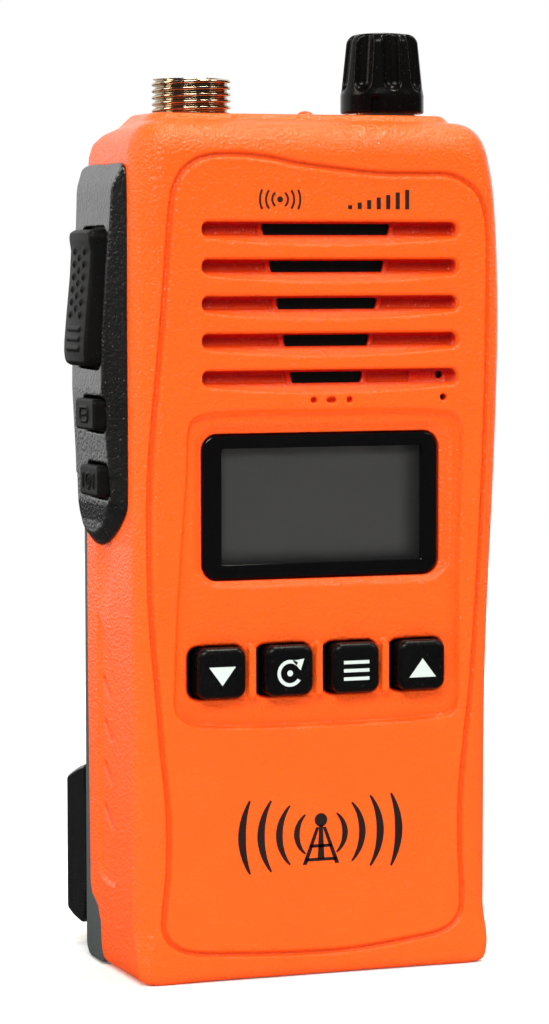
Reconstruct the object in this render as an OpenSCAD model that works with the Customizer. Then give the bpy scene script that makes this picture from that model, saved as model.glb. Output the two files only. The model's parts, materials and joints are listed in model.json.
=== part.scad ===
/* [Case] */
// Height from the base to the raised top platform
body_h = 120; // [119:0.5:124]
// Half width of the case at its waist
half_w = 26.3; // [26.2:0.05:26.5]
// How far the right flank swells past the half width near the speaker
swell = 2.1; // [1.2:0.1:2.3]
// Depth of the case and battery together, without the belt clip
body_d = 26; // [26:0.05:26.2]
// Radius of the two upright front edges
edge_r = 4; // [2:0.5:5]
// Wall thickness of the front shell
wall = 1.8; // [1.6:0.1:1.9]
// Depth of the sunk lower panel that holds the display and keys
recess = 1; // [0.6:0.1:1.1]
// Width of the decorative line round the front
line_w = 1.2; // [0.8:0.1:1.6]
// Depth of the decorative line
line_d = 0.5; // [0.3:0.1:0.8]

/* [Speaker grille] */
// Number of slots
slots = 5; // [3:1:5]
// Distance from one slot to the next
slot_pitch = 5.1; // [4.8:0.1:5.1]
// Length of a slot
slot_len = 38.3; // [34:0.1:38.5]
// Height of a slot
slot_h = 3.2; // [2.6:0.1:3.4]
// Radius of the loudspeaker
speaker_r = 15.5; // [12:0.5:15.5]

/* [Display and keys] */
// Width of the display window
lens_w = 35; // [32:0.5:35.5]
// Height of the display window
lens_h = 20; // [18:0.5:20.5]
// Side of a key cap
key_w = 8; // [7:0.1:8.1]
// Distance from one key to the next
key_pitch = 9.9; // [9.8:0.05:10]
// How far a key stands proud of the front face
key_proud = 1; // [0.6:0.1:1.2]
// Travel of a key
key_travel = 0.6; // [0.3:0.1:0.6]

/* [Side controls] */
// Length of the push-to-talk bar
ptt_len = 18.8; // [16:0.2:19]
// Travel of the push-to-talk bar
ptt_travel = 1; // [0.5:0.1:1]
// Height of a small side button
side_key_h = 4.3; // [3.6:0.1:4.5]
// Travel of a small side button
side_travel = 0.6; // [0.3:0.1:0.6]

/* [Top controls] */
// Diameter of the volume knob at its base
knob_d = 11.9; // [11.5:0.1:13]
// Height of the volume knob
knob_h = 11.5; // [11:0.1:13]
// Number of finger flutes round the knob
flutes = 8; // [6:1:10]
// Outside diameter of the aerial connector's thread
conn_d = 11.1; // [11.1:0.01:11.12]
// Pitch of the aerial connector's thread
conn_pitch = 0.907; // [0.9:0.001:0.91]

/* [Battery and clip] */
// Height of the battery pack
batt_h = 83.6; // [83.2:0.1:83.8]
// Width of the clip's lower paddle
paddle_w = 52; // [40:1:52]
// Free gap between the battery and the clip arm, for a belt
belt_gap = 5; // [4.5:0.1:6]
// Thickness of the clip arm
arm_t = 2.6; // [2:0.1:3]

/* [Hidden] */
$fn = 48;

zt = body_h;                 // raised top platform
sh = body_h - 1;             // shoulder beside the platform
yf = -body_d/2;              // front face
yb = body_d/2 + 0.1;         // back of the battery
hw = half_w;
rw = half_w + swell;         // widest point of the right flank
yr = yf + recess;            // floor of the sunk panel
yi = yf + wall;              // inner face of the upper front wall
yk = yr + 2.4;               // inner face of the lower front wall
knob_x = 14.7;               // volume knob axis
conn_x = -14;                // aerial connector axis
led_x = 3;
sp_x = 1.8; sp_z = zt - 24.8;     // loudspeaker centre
lens_x = 1.1; lens_z = 65.75;     // display window centre
key_z = 43;                       // key row
key_x = [for (i = [0:3]) 0.02 + (i - 1.5)*key_pitch];
key_y = yf - key_proud;           // front of the key caps
ptt_z = zt - 25.4;                // middle of the push-to-talk bar
sb_z = [78.55, 69.35];            // side buttons
hinge_y = 12.2; hinge_z = batt_h + 1.1;   // axis the battery tilts about
arm_y = yb + belt_gap;            // inner face of the clip arm
pin_y = arm_y + 0.6; pin_z = 74;  // clip hinge axis
boss = [[-19.2, zt - 12], [22.4, zt - 12], [-19.5, 12.5], [19.5, 12.5]];
scr_r = 1;

// front outline of the case, anticlockwise from the bottom right
outline = [[hw-2.3, 0], [hw-0.8, 0.5], [hw-0.2, 2.5], [hw, 8], [hw, 22], [hw+0.1, 37], [hw+0.2, 44],
  [hw+0.5, 52], [hw+0.9, 60], [hw+swell*0.75, 72], [hw+swell*0.93, 82], [rw, 94], [rw-0.25, zt-18],
  [rw-0.9, zt-9], [rw-1.5, zt-4.8], [rw-2.6, zt-2.8], [rw-4, zt-1.7], [rw-6, sh],
  [-hw+4.2, sh], [-hw+2, sh-0.7], [-hw+0.6, sh-2.4], [-hw, sh-5], [-hw, 2.5], [-hw+0.6, 0.6], [-hw+2.3, 0]];
// decorative line round the front, anticlockwise from the bottom left
ring = [[-19.1, 4.5], [-11.7, 3.8], [-2.9, 3.4], [4.6, 3.4], [12.2, 4.1], [18.3, 5], [20.3, 6], [21.4, 7.6],
  [21.7, 10], [21.4, 17], [21.5, 25], [22.2, 32], [23, 39], [23.6, 46], [24.2, 55], [24.9, 68], [25.4, 82],
  [25.6, zt-26], [25.5, zt-15], [25, zt-13], [24, zt-10.9], [22, zt-9.3], [19.7, zt-8.4], [15.2, zt-8.3],
  [9.2, zt-8.25], [3.2, zt-7.7], [-2.7, zt-7], [-7.1, zt-6.2], [-11.4, zt-5.8], [-15.8, zt-6],
  [-17.9, zt-6.7], [-19.8, zt-8.3], [-21, zt-10.8], [-21.3, zt-12.2], [-21.9, zt-19], [-22.3, zt-24.3],
  [-23.1, 86], [-23.8, 78], [-24.3, 69.9], [-24.4, 60.4], [-24.2, 50.8], [-23.5, 41], [-22.9, 32.8],
  [-22.2, 25.9], [-22, 20.4], [-22.2, 14.8], [-22.7, 10], [-22.7, 7.6], [-21.5, 5.7]];
panel = [[-19.6, 36.2], [-17.5, 35.6], [0, 35], [18.5, 35.4], [20.4, 35.9], [21.2, 37.3], [21.4, 45], [21.5, 58],
  [21.9, 70], [21.9, 76.4], [21, 78.2], [19.5, 78.9], [0, 79.4], [-17, 79], [-18.6, 78.2], [-19.3, 76.4],
  [-19.6, 70], [-20.9, 53], [-21.3, 43], [-21.2, 37.8]];
// moves each side of an anticlockwise outline inwards by d
function inset(p, d) = let (n = len(p)) [for (i = [0:n-1])
  let (a = p[(i+n-1)%n], b = p[i], c = p[(i+1)%n], u = (b-a)/norm(b-a), v = (c-b)/norm(c-b),
    m = [-u[1], u[0]] + [-v[1], v[0]], k = 1 + (u[0]*v[0] + u[1]*v[1]))
  b + m*d/max(k, 0.4)];

module xz(y0, y1) translate([0, y1, 0]) rotate([90, 0, 0]) linear_extrude(y1 - y0) children();
module yz(x0, x1) translate([x0, 0, 0]) rotate([90, 0, 90]) linear_extrude(x1 - x0) children();
module xy(z0, z1) translate([0, 0, z0]) linear_extrude(z1 - z0) children();
module block(a, b) translate(a) cube(b - a);
// rectangle with round corners
module rr(x0, y0, x1, y1, r) {
  translate([x0, y0 + r]) square([x1 - x0, y1 - y0 - 2*r]);
  translate([x0 + r, y0]) square([x1 - x0 - 2*r, y1 - y0]);
  for (x = [x0 + r, x1 - r], y = [y0 + r, y1 - r]) translate([x, y]) circle(r);
}
// round rod or hole along an axis
module rod_x(x0, x1, r, y, z) translate([x0, y, z]) rotate([0, 90, 0]) cylinder(h = x1 - x0, r = r);
module rod_y(y0, y1, r, x, z) translate([x, y0, z]) rotate([-90, 0, 0]) cylinder(h = y1 - y0, r = r);
module rod_z(z0, z1, r, x, y) translate([x, y, z0]) cylinder(h = z1 - z0, r = r);
// slanted pill-shaped grip groove, drawn in a side view
module pill(y, z, l, w, a) translate([y, z]) rotate(a) {
  square([l - w, w], center = true);
  for (s = [-1, 1]) translate([s*(l - w)/2, 0]) circle(w/2);
}
module front_edges(x0, x1, y0, y1, r) {
  translate([x0, y0 + r]) square([x1 - x0, y1 - y0 - r]);
  translate([x0 + r, y0]) square([x1 - x0 - 2*r, r + 1]);
  for (x = [x0 + r, x1 - r]) translate([x, y0 + r]) circle(r);
}
// side view of the front shell: rounded top and bottom, stepped for the battery at the back
shell_side = [[yf+1.6, 0], [4.8, 0], [5.2, 6], [9.9, 10], [10.9, 44], [10.9, 92], [9.4, sh-5.1], [8.4, sh-3.2],
  [5.6, sh-1.7], [1, sh-0.9], [-3.6, sh-0.5], [yf+3.4, sh], [yf+1.5, sh-0.8], [yf+0.4, sh-2.2],
  [yf, sh-4.5], [yf, 2], [yf+0.5, 0.6]];

module front_housing() color("orangered") difference() {
  union() {
    intersection() {
      xz(yf - 1, 12) polygon(outline);
      yz(-40, 40) polygon(shell_side);
      xy(-1, zt + 2) front_edges(-hw, rw, yf, 14, edge_r);
    }
    // raised platform for the controls
    intersection() {
      xz(-8, 5.5) polygon([[-hw+2.8, sh-1.5], [hw-2.8, sh-1.5], [hw-3.4, sh], [hw-4.4, zt], [-hw+4.4, zt], [-hw+3.4, sh]]);
      xy(sh - 2, zt + 1) rr(-hw+2.8, -8, hw-2.8, 5.5, 3);
    }
  }
  // inside of the shell, deeper behind the sunk panel
  difference() {
    xz(yi, 15) polygon([[-hw+2, 1.8], [hw-2, 1.8], [hw-1.9, 44], [hw-1.2, 60], [rw-2.2, 80], [rw-2.1, 95],
      [rw-2.4, zt-14], [rw-4.4, sh-2.5], [-hw+2.6, sh-2.5], [-hw+2, sh-4.5]]);
    block([-hw, yf, 0], [rw, yk, 79.4]);
    for (b = boss) rod_y(yf, 0.9, 2.3, b[0], b[1]);
    // closed corner at the top of the back
    yz(-hw, rw) polygon([[16, sh-5.9], [8, sh-5.9], [8, sh-5.4], [7.4, sh-3.9], [5.2, sh-2.6], [4.6, sh-1], [16, sh-1]]);
  }
  for (b = boss) rod_y(yi + 1.5, 2, scr_r, b[0], b[1]);
  // sunk panel, display pocket and window
  difference() {
    xz(yf - 1, yr) polygon(panel);
    for (x = [-9.9, 0, 9.9]) block([x - 0.5, yf, 39.4], [x + 0.5, yr + 1, 46.5]);
  }
  for (p = [[1.8, 0.3], [1.2, 0.6], [0.6, 0.9]]) xz(yf - 1, yr + p[1])
    rr(lens_x - lens_w/2 - p[0], lens_z - lens_h/2 - p[0], lens_x + lens_w/2 + p[0], lens_z + lens_h/2 + p[0], 2.2 + p[0]);
  xz(yf - 1, yr + 1.95) rr(lens_x - lens_w/2 - 0.2, lens_z - lens_h/2 - 0.2, lens_x + lens_w/2 + 0.2, lens_z + lens_h/2 + 0.2, 2.4);
  xz(yf - 1, yi + 4) rr(lens_x - lens_w/2 + 1.5, lens_z - lens_h/2 + 1.5, lens_x + lens_w/2 - 1.5, lens_z + lens_h/2 - 1.5, 1);
  // key holes
  for (x = key_x) xz(yf - 1, yk + 1) rr(x - key_w/2 - 0.27, key_z - key_w/2 - 0.2, x + key_w/2 + 0.27, key_z + key_w/2 + 0.2, 1.7);
  // decorative line
  difference() {
    xz(yf - 1, yf + line_d) polygon(inset(ring, -line_w/2));
    xz(yf - 2, yf + line_d + 1) polygon(inset(ring, line_w/2));
  }
  // speaker slots: a sunk pill with a tapering opening in its middle
  for (i = [0:slots-1]) let (z = zt - 14.6 - slot_h/2 - i*slot_pitch, o = i*1.15) {
    xz(yf - 1, yf + 0.9) rr(2.1 - slot_len/2, z - slot_h/2, 2.1 + slot_len/2, z + slot_h/2, slot_h/2 - 0.1);
    xz(yf - 1, yi + 2) polygon([[-6.9 + o, z - 0.72], [10.2 - o, z - 0.72], [11.1 - o*0.9, z + 0.72], [-7.9 + o, z + 0.72]]);
  }
  // microphone holes and vents
  for (p = [[18.5, 83.7], [18.8, 80.6]]) rod_y(yf - 1, yi + 3, 0.55, p[0], p[1]);
  for (p = [[-0.6, 0.45], [2, 0.65], [4.7, 0.45]]) rod_y(yf - 1, yf + 0.9, p[1], p[0], 80.4);
  // holes in the top
  rod_z(sh - 4, zt + 1, conn_d/2 + 0.15, conn_x, 0);
  rod_z(sh - 4, zt + 1, 4.25, knob_x, 0);
  rod_z(sh - 4, zt + 1, 1.15, led_x, 0);
  // openings for the side controls in the left wall
  block([-hw - 1, -6.2, ptt_z - ptt_len/2 - 1.3], [-hw + 4, 6.2, ptt_z + ptt_len/2 + 1.4]);
  for (z = sb_z) block([-hw - 1, -7.1, z - side_key_h/2 - 1.2], [-hw + 4, 4.9, z + side_key_h/2 + 1.2]);
  // grip grooves low on both flanks
  for (s = [0:3], e = [[-hw - 1, -hw + 0.45], [hw - 0.45, rw + 1]])
    yz(e[0], e[1]) pill([2.8, 2.2, 2.3, 2.4][s], [39.9, 33.8, 27.8, 21.8][s], 4.4, 1.1, 36);
  // accessory jacks and the seat of their cover in the right wall
  block([rw - 1.35, -5.2, 84.8], [rw + 1, 9, 104.2]);
  block([rw - 5, -2.1, 85.9], [rw + 1, 5.4, 103.3]);
  // keeper notch for the battery latch
  block([-5, 3.2, -1], [5, 6, 3]);
}
module speaker_mesh() color("black") xz(yi + 0.02, yi + 0.27) rr(-13.2, 82.4, 16.6, zt - 12.4, 3);
module speaker_frame() color("dimgray") difference() {
  union() {
    rod_y(yi + 0.3, yi + 1.8, speaker_r, sp_x, sp_z);
    rod_y(yi + 1.7, yi + 3.7, 11, sp_x, sp_z);
  }
  rod_y(yi - 1, yi + 1.1, speaker_r - 1.6, sp_x, sp_z);
  rod_y(yi, yi + 3.1, 10, sp_x, sp_z);
  rod_y(yi, yi + 5, 6.2, sp_x, sp_z);
}
module speaker_cone() color("darkslategray") translate([sp_x, yi + 0.3, sp_z]) rotate([-90, 0, 0])
  rotate_extrude() polygon([[0, 1.1], [4.2, 0.9], [4.9, 2.2], [9.4, 0.45], [11.4, 0.1], [13.7, 0.3], [13.7, 0.7],
    [11.4, 0.5], [9.6, 0.85], [4.9, 2.7], [4.9, 3.2], [4.5, 3.2], [4, 1.3], [0, 1.5]]);
module speaker_magnet() color("gray") difference() {
  rod_y(yi + 3.75, yi + 6.2, 7.6, sp_x, sp_z);
  rod_y(yi + 3, yi + 5.2, 5.4, sp_x, sp_z);
}
module microphone() color("silver") rod_y(yi + 0.7, yi + 2.5, 2, 18.65, 82.6);
module microphone_boot() color("black") difference() {
  rod_y(yi + 0.05, yi + 2.8, 2.8, 18.65, 82.6);
  rod_y(yi + 0.7, yi + 3, 2.02, 18.65, 82.6);
  rod_y(yi - 1, yi + 1, 1.2, 18.65, 82.6);
}
module display_lens() color("black") xz(yr + 0.9, yr + 1.9)
  rr(lens_x - lens_w/2, lens_z - lens_h/2, lens_x + lens_w/2, lens_z + lens_h/2, 2.2);
module lcd_panel() color("darkslategray") block([lens_x - 16.9, yk + 0.4, lens_z - 9.7], [lens_x + 16.9, yk + 2, lens_z + 9.7]);
module backlight() color("white") block([lens_x - 16.9, yk + 2.05, lens_z - 9.7], [lens_x + 16.9, yk + 3.2, lens_z + 9.7]);
module lcd_frame() color("ivory") difference() {
  xz(yk + 0.1, yk + 3.25) rr(lens_x - 18.6, lens_z - 11.4, lens_x + 18.6, lens_z + 11.4, 1);
  block([lens_x - 17, yk + 0.35, lens_z - 9.8], [lens_x + 17, yk + 4, lens_z + 9.8]);
  block([lens_x - 16, yk - 1, lens_z - 9], [lens_x + 16, yk + 1, lens_z + 9]);
}
module key(i) color("black") {
  xz(key_y, yk + 0.35) rr(key_x[i] - key_w/2, key_z - key_w/2, key_x[i] + key_w/2, key_z + key_w/2, 1.5);
  xz(yk + 0.3, yk + 1.1) rr(key_x[i] - 4.6, key_z - 4.5, key_x[i] + 4.6, key_z + 4.5, 1);
  rod_y(yk + 1, yk + 1.55, 1.5, key_x[i], key_z);
}
module key_down() key(0);
module key_scan() key(1);
module key_menu() key(2);
module key_up() key(3);
module keypad_mat() color("dimgray") {
  xz(yk + 2.72, yk + 3.28) rr(-20.4, key_z - 5.6, 20.4, key_z + 5.6, 1);
  for (x = key_x) rod_y(yk + 2.3, yk + 2.8, 2.4, x, key_z);
}
module front_board() color("darkgreen") xz(yk + 3.3, yk + 4.3) rr(-21, 33, 22.6, 79, 1);
module main_board() color("darkgreen") difference() {
  xz(-3, -2) rr(-21.3, 9, 23.6, 102, 1);
  for (b = boss) rod_y(-4, 0, 2.7, b[0], b[1]);
}
module rf_shields() color("lightgray") {
  xz(-1.98, 0.6) rr(-18, 18, 6, 44, 0.8);
  xz(-1.98, 0.6) rr(-18, 47, 4, 70, 0.8);
  xz(-1.98, 0.6) rr(8, 22, 20, 66, 0.8);
  xz(-4.6, -3.02) rr(-16, 50, 14, 74, 0.8);
}
module chassis() color("silver") difference() {
  union() {
    block([-hw + 2.3, 1, 6], [hw - 2.3, 2.5, batt_h]);
    block([-20.8, 1, batt_h - 0.5], [14, 2.5, zt - 16]);
    for (b = boss) rod_y(1, 2.5, 2.7, b[0], b[1]);
    block([-22, 1, zt - 17], [-17, 2.5, zt - 12]);
    block([13, 1, zt - 16.6], [24.8, 2.5, zt - 15.3]);
    block([20, 1, zt - 16.6], [24.8, 2.5, zt - 12]);
  }
  for (b = boss) {
    rod_y(0, 4, 1.1, b[0], b[1]);
    rod_y(1.7, 4, 2.1, b[0], b[1]);
  }
}
module chassis_screws() color("gray") for (b = boss) difference() {
  union() {
    rod_y(1.7, 2.4, 1.9, b[0], b[1]);
    rod_y(-4, 1.75, scr_r - 0.02, b[0], b[1]);
  }
  rod_y(2.1, 3, 0.5, b[0], b[1]);
}
module bay_contacts() color("gold") for (x = [-7.5, -2.5, 2.5, 7.5])
  block([x - 0.9, 2.5, 66], [x + 0.9, 3.05, 72]);
module side_bezel() color("black") difference() {
  intersection() {
    yz(-34, -hw + 0.0) polygon([[-8.6, 66.5], [-8.6, zt-9], [-8, zt-7.5], [-6.6, zt-7], [8.8, zt-7], [10.2, zt-7.7],
      [10.7, zt-9.2], [10.7, 66], [10.3, 63.6], [8.8, 61.4], [6.4, 60.3], [3.3, 59.9], [0, 60.5], [-3.6, 62], [-6.6, 63.9], [-8.1, 65.2]]);
    xz(-10, 12) polygon([[-hw, 59], [-27, 60.4], [-27.8, 63.4], [-28.2, 66], [-28.5, 73], [-29.2, 82], [-29.1, 90],
      [-28.4, zt-14.5], [-28.3, zt-8.2], [-27.7, zt-6.9], [-hw, zt-6.5]]);
    xy(50, zt) polygon([[-hw+0.01, -8.6], [-hw, -8.6], [-29.3, -5.9], [-29.3, 8], [-hw, 10.7], [-hw+0.01, 10.7]]);
  }
  block([-32, -5.3, ptt_z - ptt_len/2 - 0.4], [-20, 5.3, ptt_z + ptt_len/2 + 0.4]);
  block([-27.75, -6.2, ptt_z - ptt_len/2 - 1.3], [-20, 6.2, ptt_z + ptt_len/2 + 1.4]);
  for (z = sb_z) {
    block([-32, -6.2, z - side_key_h/2 - 0.35], [-20, 2.8, z + side_key_h/2 + 0.35]);
    block([-27.6, -7.1, z - side_key_h/2 - 1.2], [-20, 4.9, z + side_key_h/2 + 1.2]);
  }
}
module ptt_button() color("dimgray") {
  intersection() {
    xz(-5, 5) polygon([[-27.1, ptt_z-ptt_len/2], [-31, ptt_z-ptt_len/2], [-31.5, ptt_z-ptt_len/2+0.6], [-31.5, ptt_z-6],
      [-31.1, ptt_z-2], [-30.6, ptt_z+3], [-30.4, ptt_z+6.5], [-30.6, ptt_z+8], [-30.6, ptt_z+ptt_len/2-0.5],
      [-30.1, ptt_z+ptt_len/2], [-27.1, ptt_z+ptt_len/2]]);
    xy(70, zt) rr(-31.5, -5, -20, 5, 1.2);
  }
  block([-27.45, -5.9, ptt_z - ptt_len/2 - 1], [-26.75, 5.9, ptt_z + ptt_len/2 + 1]);
  rod_x(-26.8, -24.6, 1.5, 0, ptt_z);
}
module side_button(z, xo) color("dimgray") {
  intersection() {
    yz(xo, -27) rr(-5.9, z - side_key_h/2, 2.5, z + side_key_h/2, 0.8);
    xy(z - 5, z + 5) rr(xo, -5.9, -20, 2.5, 0.8);
  }
  block([-27.35, -6.8, z - side_key_h/2 - 0.9], [-26.75, 4.6, z + side_key_h/2 + 0.9]);
  rod_x(-26.8, -24.3, 1.3, -0.5, z);
}
module side_button_upper() side_button(sb_z[0], -30.4);
module side_button_lower() side_button(sb_z[1], -29.8);
module side_board() color("darkgreen") block([-22.5, -6, 64], [-21.5, 0.8, 106]);
module side_switches() color("silver") for (p = [[0, ptt_z], [-0.5, sb_z[0]], [-0.5, sb_z[1]]]) {
  block([-23.2, p[0] - 1.3 - (p[0] == 0 ? 0.6 : 0), p[1] - 2.2], [-22.5, p[0] + (p[0] == 0 ? 0.7 : 1.2), p[1] + 2.2]);
  rod_x(-23.5, -23.1, 0.6, p[0] - 0.2, p[1]);
}
module volume_knob() color("black") difference() {
  translate([knob_x, 0, zt + 0.4]) rotate_extrude() polygon([[0, 0], [knob_d/2 - 0.2, 0], [knob_d/2, 0.3], [knob_d/2, 2.6],
    [knob_d/2 - 0.25, 3.2], [knob_d/2 - 0.95, knob_h - 1.2], [knob_d/2 - 1.2, knob_h - 0.5], [knob_d/2 - 1.9, knob_h - 0.1], [knob_d/2 - 2.4, knob_h], [0, knob_h]]);
  for (i = [0:flutes-1]) rotate_about(i*360/flutes + 84.3)
    rod_z(zt + 3.8, zt + knob_h + 2, 1.05, knob_x + knob_d/2 - 0.05, 0);
  rod_z(zt - 1, zt + 3.2, 5.1, knob_x, 0);
  rod_z(zt + 2, zt + knob_h - 2, 3.01, knob_x, 0);
  rotate_about(-121) block([knob_x + knob_d/2 - 0.5, -0.6, zt], [knob_x + knob_d/2 + 1, 0.6, zt + 2.4]);
}
// turns its children about the knob's axis
module rotate_about(a) translate([knob_x, 0, 0]) rotate([0, 0, a]) translate([-knob_x, 0, 0]) children();
module volume_shaft() color("silver") rod_z(zt - 13, zt + knob_h - 2.2, 3, knob_x, 0);
module volume_control() color("gray") difference() {
  union() {
    block([knob_x - 4.7, -5.2, zt - 15], [knob_x + 4.7, 5.2, zt - 9]);
    rod_z(zt - 9, zt + 2.2, 4.1, knob_x, 0);
  }
  rod_z(zt - 13.1, zt + 4, 3.05, knob_x, 0);
}
module volume_nut() color("silver") difference() {
  rod_z(zt + 0.05, zt + 1.9, 4.9, knob_x, 0);
  rod_z(zt - 1, zt + 3, 4.12, knob_x, 0);
}
// threaded shell: crest lands with shallow valleys between them
module antenna_connector() color("silver") difference() {
  union() {
    rod_z(zt - 7.2, zt + 4.9, conn_d/2 - 0.5, conn_x, 0);
    rod_z(zt - 3.6, zt - 0.2, conn_d/2 - 0.25, conn_x, 0);
    translate([conn_x, 0, zt]) for (i = [0:4]) translate([0, 0, 0.2 + i*conn_pitch]) rotate_extrude()
      polygon([[conn_d/2 - 0.9, 0], [conn_d/2 - 0.5, 0], [conn_d/2, 0.28], [conn_d/2, 0.58], [conn_d/2 - 0.5, 0.86], [conn_d/2 - 0.9, 0.86]]);
  }
  rod_z(zt - 3, zt + 6, 4.1, conn_x, 0);
  rod_z(zt - 8, zt, 2.4, conn_x, 0);
}
module antenna_insulator() color("white") difference() {
  union() {
    rod_z(zt - 7.6, zt - 3, 2.38, conn_x, 0);
    rod_z(zt - 3, zt - 1.6, 4.05, conn_x, 0);
    rod_z(zt - 1.7, zt + 4.3, 2.35, conn_x, 0);
  }
  rod_z(zt - 9, zt + 5, 0.95, conn_x, 0);
}
module antenna_contact() color("gold") difference() {
  rod_z(zt - 10.5, zt + 3.9, 0.93, conn_x, 0);
  rod_z(zt, zt + 5, 0.65, conn_x, 0);
}
module antenna_nut() color("silver") difference() {
  translate([conn_x, 0, zt - 6.3]) cylinder(h = 2.2, r = 6.4, $fn = 6);
  rod_z(zt - 8, zt - 2, conn_d/2 - 0.48, conn_x, 0);
}
module led_lens() color("orangered") {
  translate([led_x, 0, zt - 4.6]) rotate_extrude() polygon([[0, 0], [1.8, 0], [1.8, 0.9], [1.08, 0.9], [1.08, 4.7], [0.85, 5], [0.45, 5.2], [0, 5.25]]);
}
module accessory_jack() color("black") difference() {
  for (z = [[86.1, 93.2], [96.1, 103.1]]) block([16.5, -1.9, z[0]], [rw - 2.4, 5.2, z[1]]);
  rod_x(17.5, rw, 1.78, 2, 100);
  rod_x(17.5, rw, 1.28, 2, 89.5);
}
module jack_cover() color("black") {
  intersection() {
    union() {
      block([rw - 1.25, -5, 85], [rw + 0.2, 7.25, 104]);
      rod_z(85, 104, 0.55, rw - 0.75, 7.25);
    }
    xz(-8, 12) polygon(inset(outline, 0.12));
    xy(80, 110) rr(rw - 6, -5, rw, 20, 1.2);
  }
  block([rw - 2.2, -1.7, 86.3], [rw - 1.2, 5, 102.9]);
}
module rear_cover() color("dimgray") difference() {
  union() {
    intersection() {
      yz(-40, 40) polygon([[11.1, hinge_z - 0.6], [yb, hinge_z - 0.6], [yb, 92], [12.6, 96], [9.9, sh-5.6], [9.55, sh-5.3], [11.05, 92.2]]);
      xz(0, 20) polygon(inset(outline, 0.25));
    }
    // plug inside the shell and roof of the battery bay
    block([-hw + 2.3, 8.6, hinge_z - 0.6], [hw - 2.3, 11.1, 92]);
    block([-hw + 2.3, 7.4, 92], [hw - 2.3, 9.9, sh - 10]);
    block([-hw + 2.3, 2.7, hinge_z - 0.6], [hw - 2.3, 9, hinge_z + 1]);
  }
  // sockets of the battery hinge
  for (s = [-1, 1]) {
    rod_x(s*16 - 4.2, s*16 + 4.2, 1.05, hinge_y, hinge_z);
    block([s*16 - 4.2, hinge_y - 1.05, hinge_z - 2], [s*16 + 4.2, hinge_y + 3, hinge_z]);
  }
  for (x = [-19, 19], z = [91, zt - 15.5]) rod_y(4, 20, 1.2, x, z);
  for (x = [-19, 19]) {
    rod_y(yb - 1.2, 20, 2.1, x, 91);
    rod_y(10.1, 20, 2.1, x, zt - 15.5);
  }
}
module rear_cover_screws() color("gray") for (x = [-19, 19]) for (p = [[91, yb - 1.2], [zt - 15.5, 10.1]]) difference() {
  union() {
    rod_y(p[1], p[1] + 0.9, 1.9, x, p[0]);
    rod_y(p[1] - 4.5, p[1] + 0.05, scr_r, x, p[0]);
  }
  rod_y(p[1] + 0.5, 20, 0.5, x, p[0]);
}
module battery_case() color("dimgray") difference() {
  block([-hw + 2.4, 3.2, 2.5], [hw - 2.4, 10.95, batt_h]);
  block([-hw + 3.4, 4.2, 3.5], [hw - 3.4, 12, batt_h - 1]);
  for (x = [-7.5, -2.5, 2.5, 7.5]) block([x - 1.4, 3, 65.5], [x + 1.4, 3.6, 72.5]);
}
module battery_cover() color("lightslategray") difference() {
  union() {
    yz(-hw + 0.2, hw - 0.2) polygon([[5.1, 0.3], [5.45, 5.9], [10.15, 9.95], [11.15, 44], [11.15, batt_h - 0.2], [yb, batt_h - 0.2],
      [yb, 3.4], [12.5, 1.7], [11.4, 0.6], [10.2, 0.3]]);
    yz(-hw + 2.4, hw - 2.4) polygon([[10.95, 2.5], [10.95, batt_h], [12, batt_h], [12, 2.5]]);
    // trunnions that hook under the rear cover
    for (s = [-1, 1]) {
      rod_x(s*16 - 3.9, s*16 + 3.9, 1, hinge_y, hinge_z);
      block([s*16 - 3.9, hinge_y - 0.8, batt_h - 1], [s*16 + 3.9, hinge_y + 0.7, hinge_z]);
    }
  }
  block([-hw + 2.4, 3, 2.5], [hw - 2.4, 10.95, batt_h + 0.1]);
  // slot of the latch
  block([-7, 3, 0.1], [7, 11.6, 2.3]);
  for (x = [-17, 17]) rod_y(yb - 0.4, 20, 2.05, x, 40);
  for (x = [-8, 8]) rod_y(11.3, 20, 1.02, x, 78.3);
}
module battery_cells() color("steelblue") for (s = [-1, 1])
  xz(4.3, 10.8) rr(s*11.3 - 10.6, 5, s*11.3 + 10.6, 62, 1.5);
module battery_board() color("darkgreen") block([-20, 6, 63], [20, 7, 81]);
module battery_terminals() color("gold") for (x = [-7.5, -2.5, 2.5, 7.5])
  block([x - 1.4, 3.25, 65.5], [x + 1.4, 3.6, 72.5]);
module charge_contacts() color("gold") for (x = [-17, 17]) rod_y(yb - 0.4, yb - 0.05, 2, x, 40);
module battery_latch() color("black") {
  block([-6.7, 5.2, 0.45], [6.7, 9.5, 2.05]);
  block([-4.5, 3.7, 0.5], [4.5, 5.3, 1.7]);
}
module clip_bracket() color("black") difference() {
  union() {
    xz(yb + 0.01, yb + 1.5) rr(-12, 66, 12, 82, 1.5);
    for (s = [-1, 1]) translate([s*10.3 - 1.1, 0, 0]) yz(0, 2.2) {
      translate([pin_y, pin_z]) circle(2.8);
      polygon([[yb + 1, 67.5], [yb + 1, 80.5], [pin_y + 0.6, pin_z + 2.74], [pin_y + 0.6, pin_z - 2.74]]);
    }
  }
  rod_x(-14, 14, 1.01, pin_y, pin_z);
  for (x = [-8, 8]) rod_y(12, 20, 1.05, x, 78.3);
}
module clip_screws() color("silver") for (x = [-8, 8]) difference() {
  union() {
    rod_y(yb + 1.51, yb + 2.3, 1.0, x, 78.3);
    rod_y(11.4, yb + 1.55, 0.99, x, 78.3);
  }
  rod_y(yb + 1.9, 20, 0.4, x, 78.3);
}
module clip_pin() color("silver") rod_x(-11.4, 11.4, 1, pin_y, pin_z);
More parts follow.
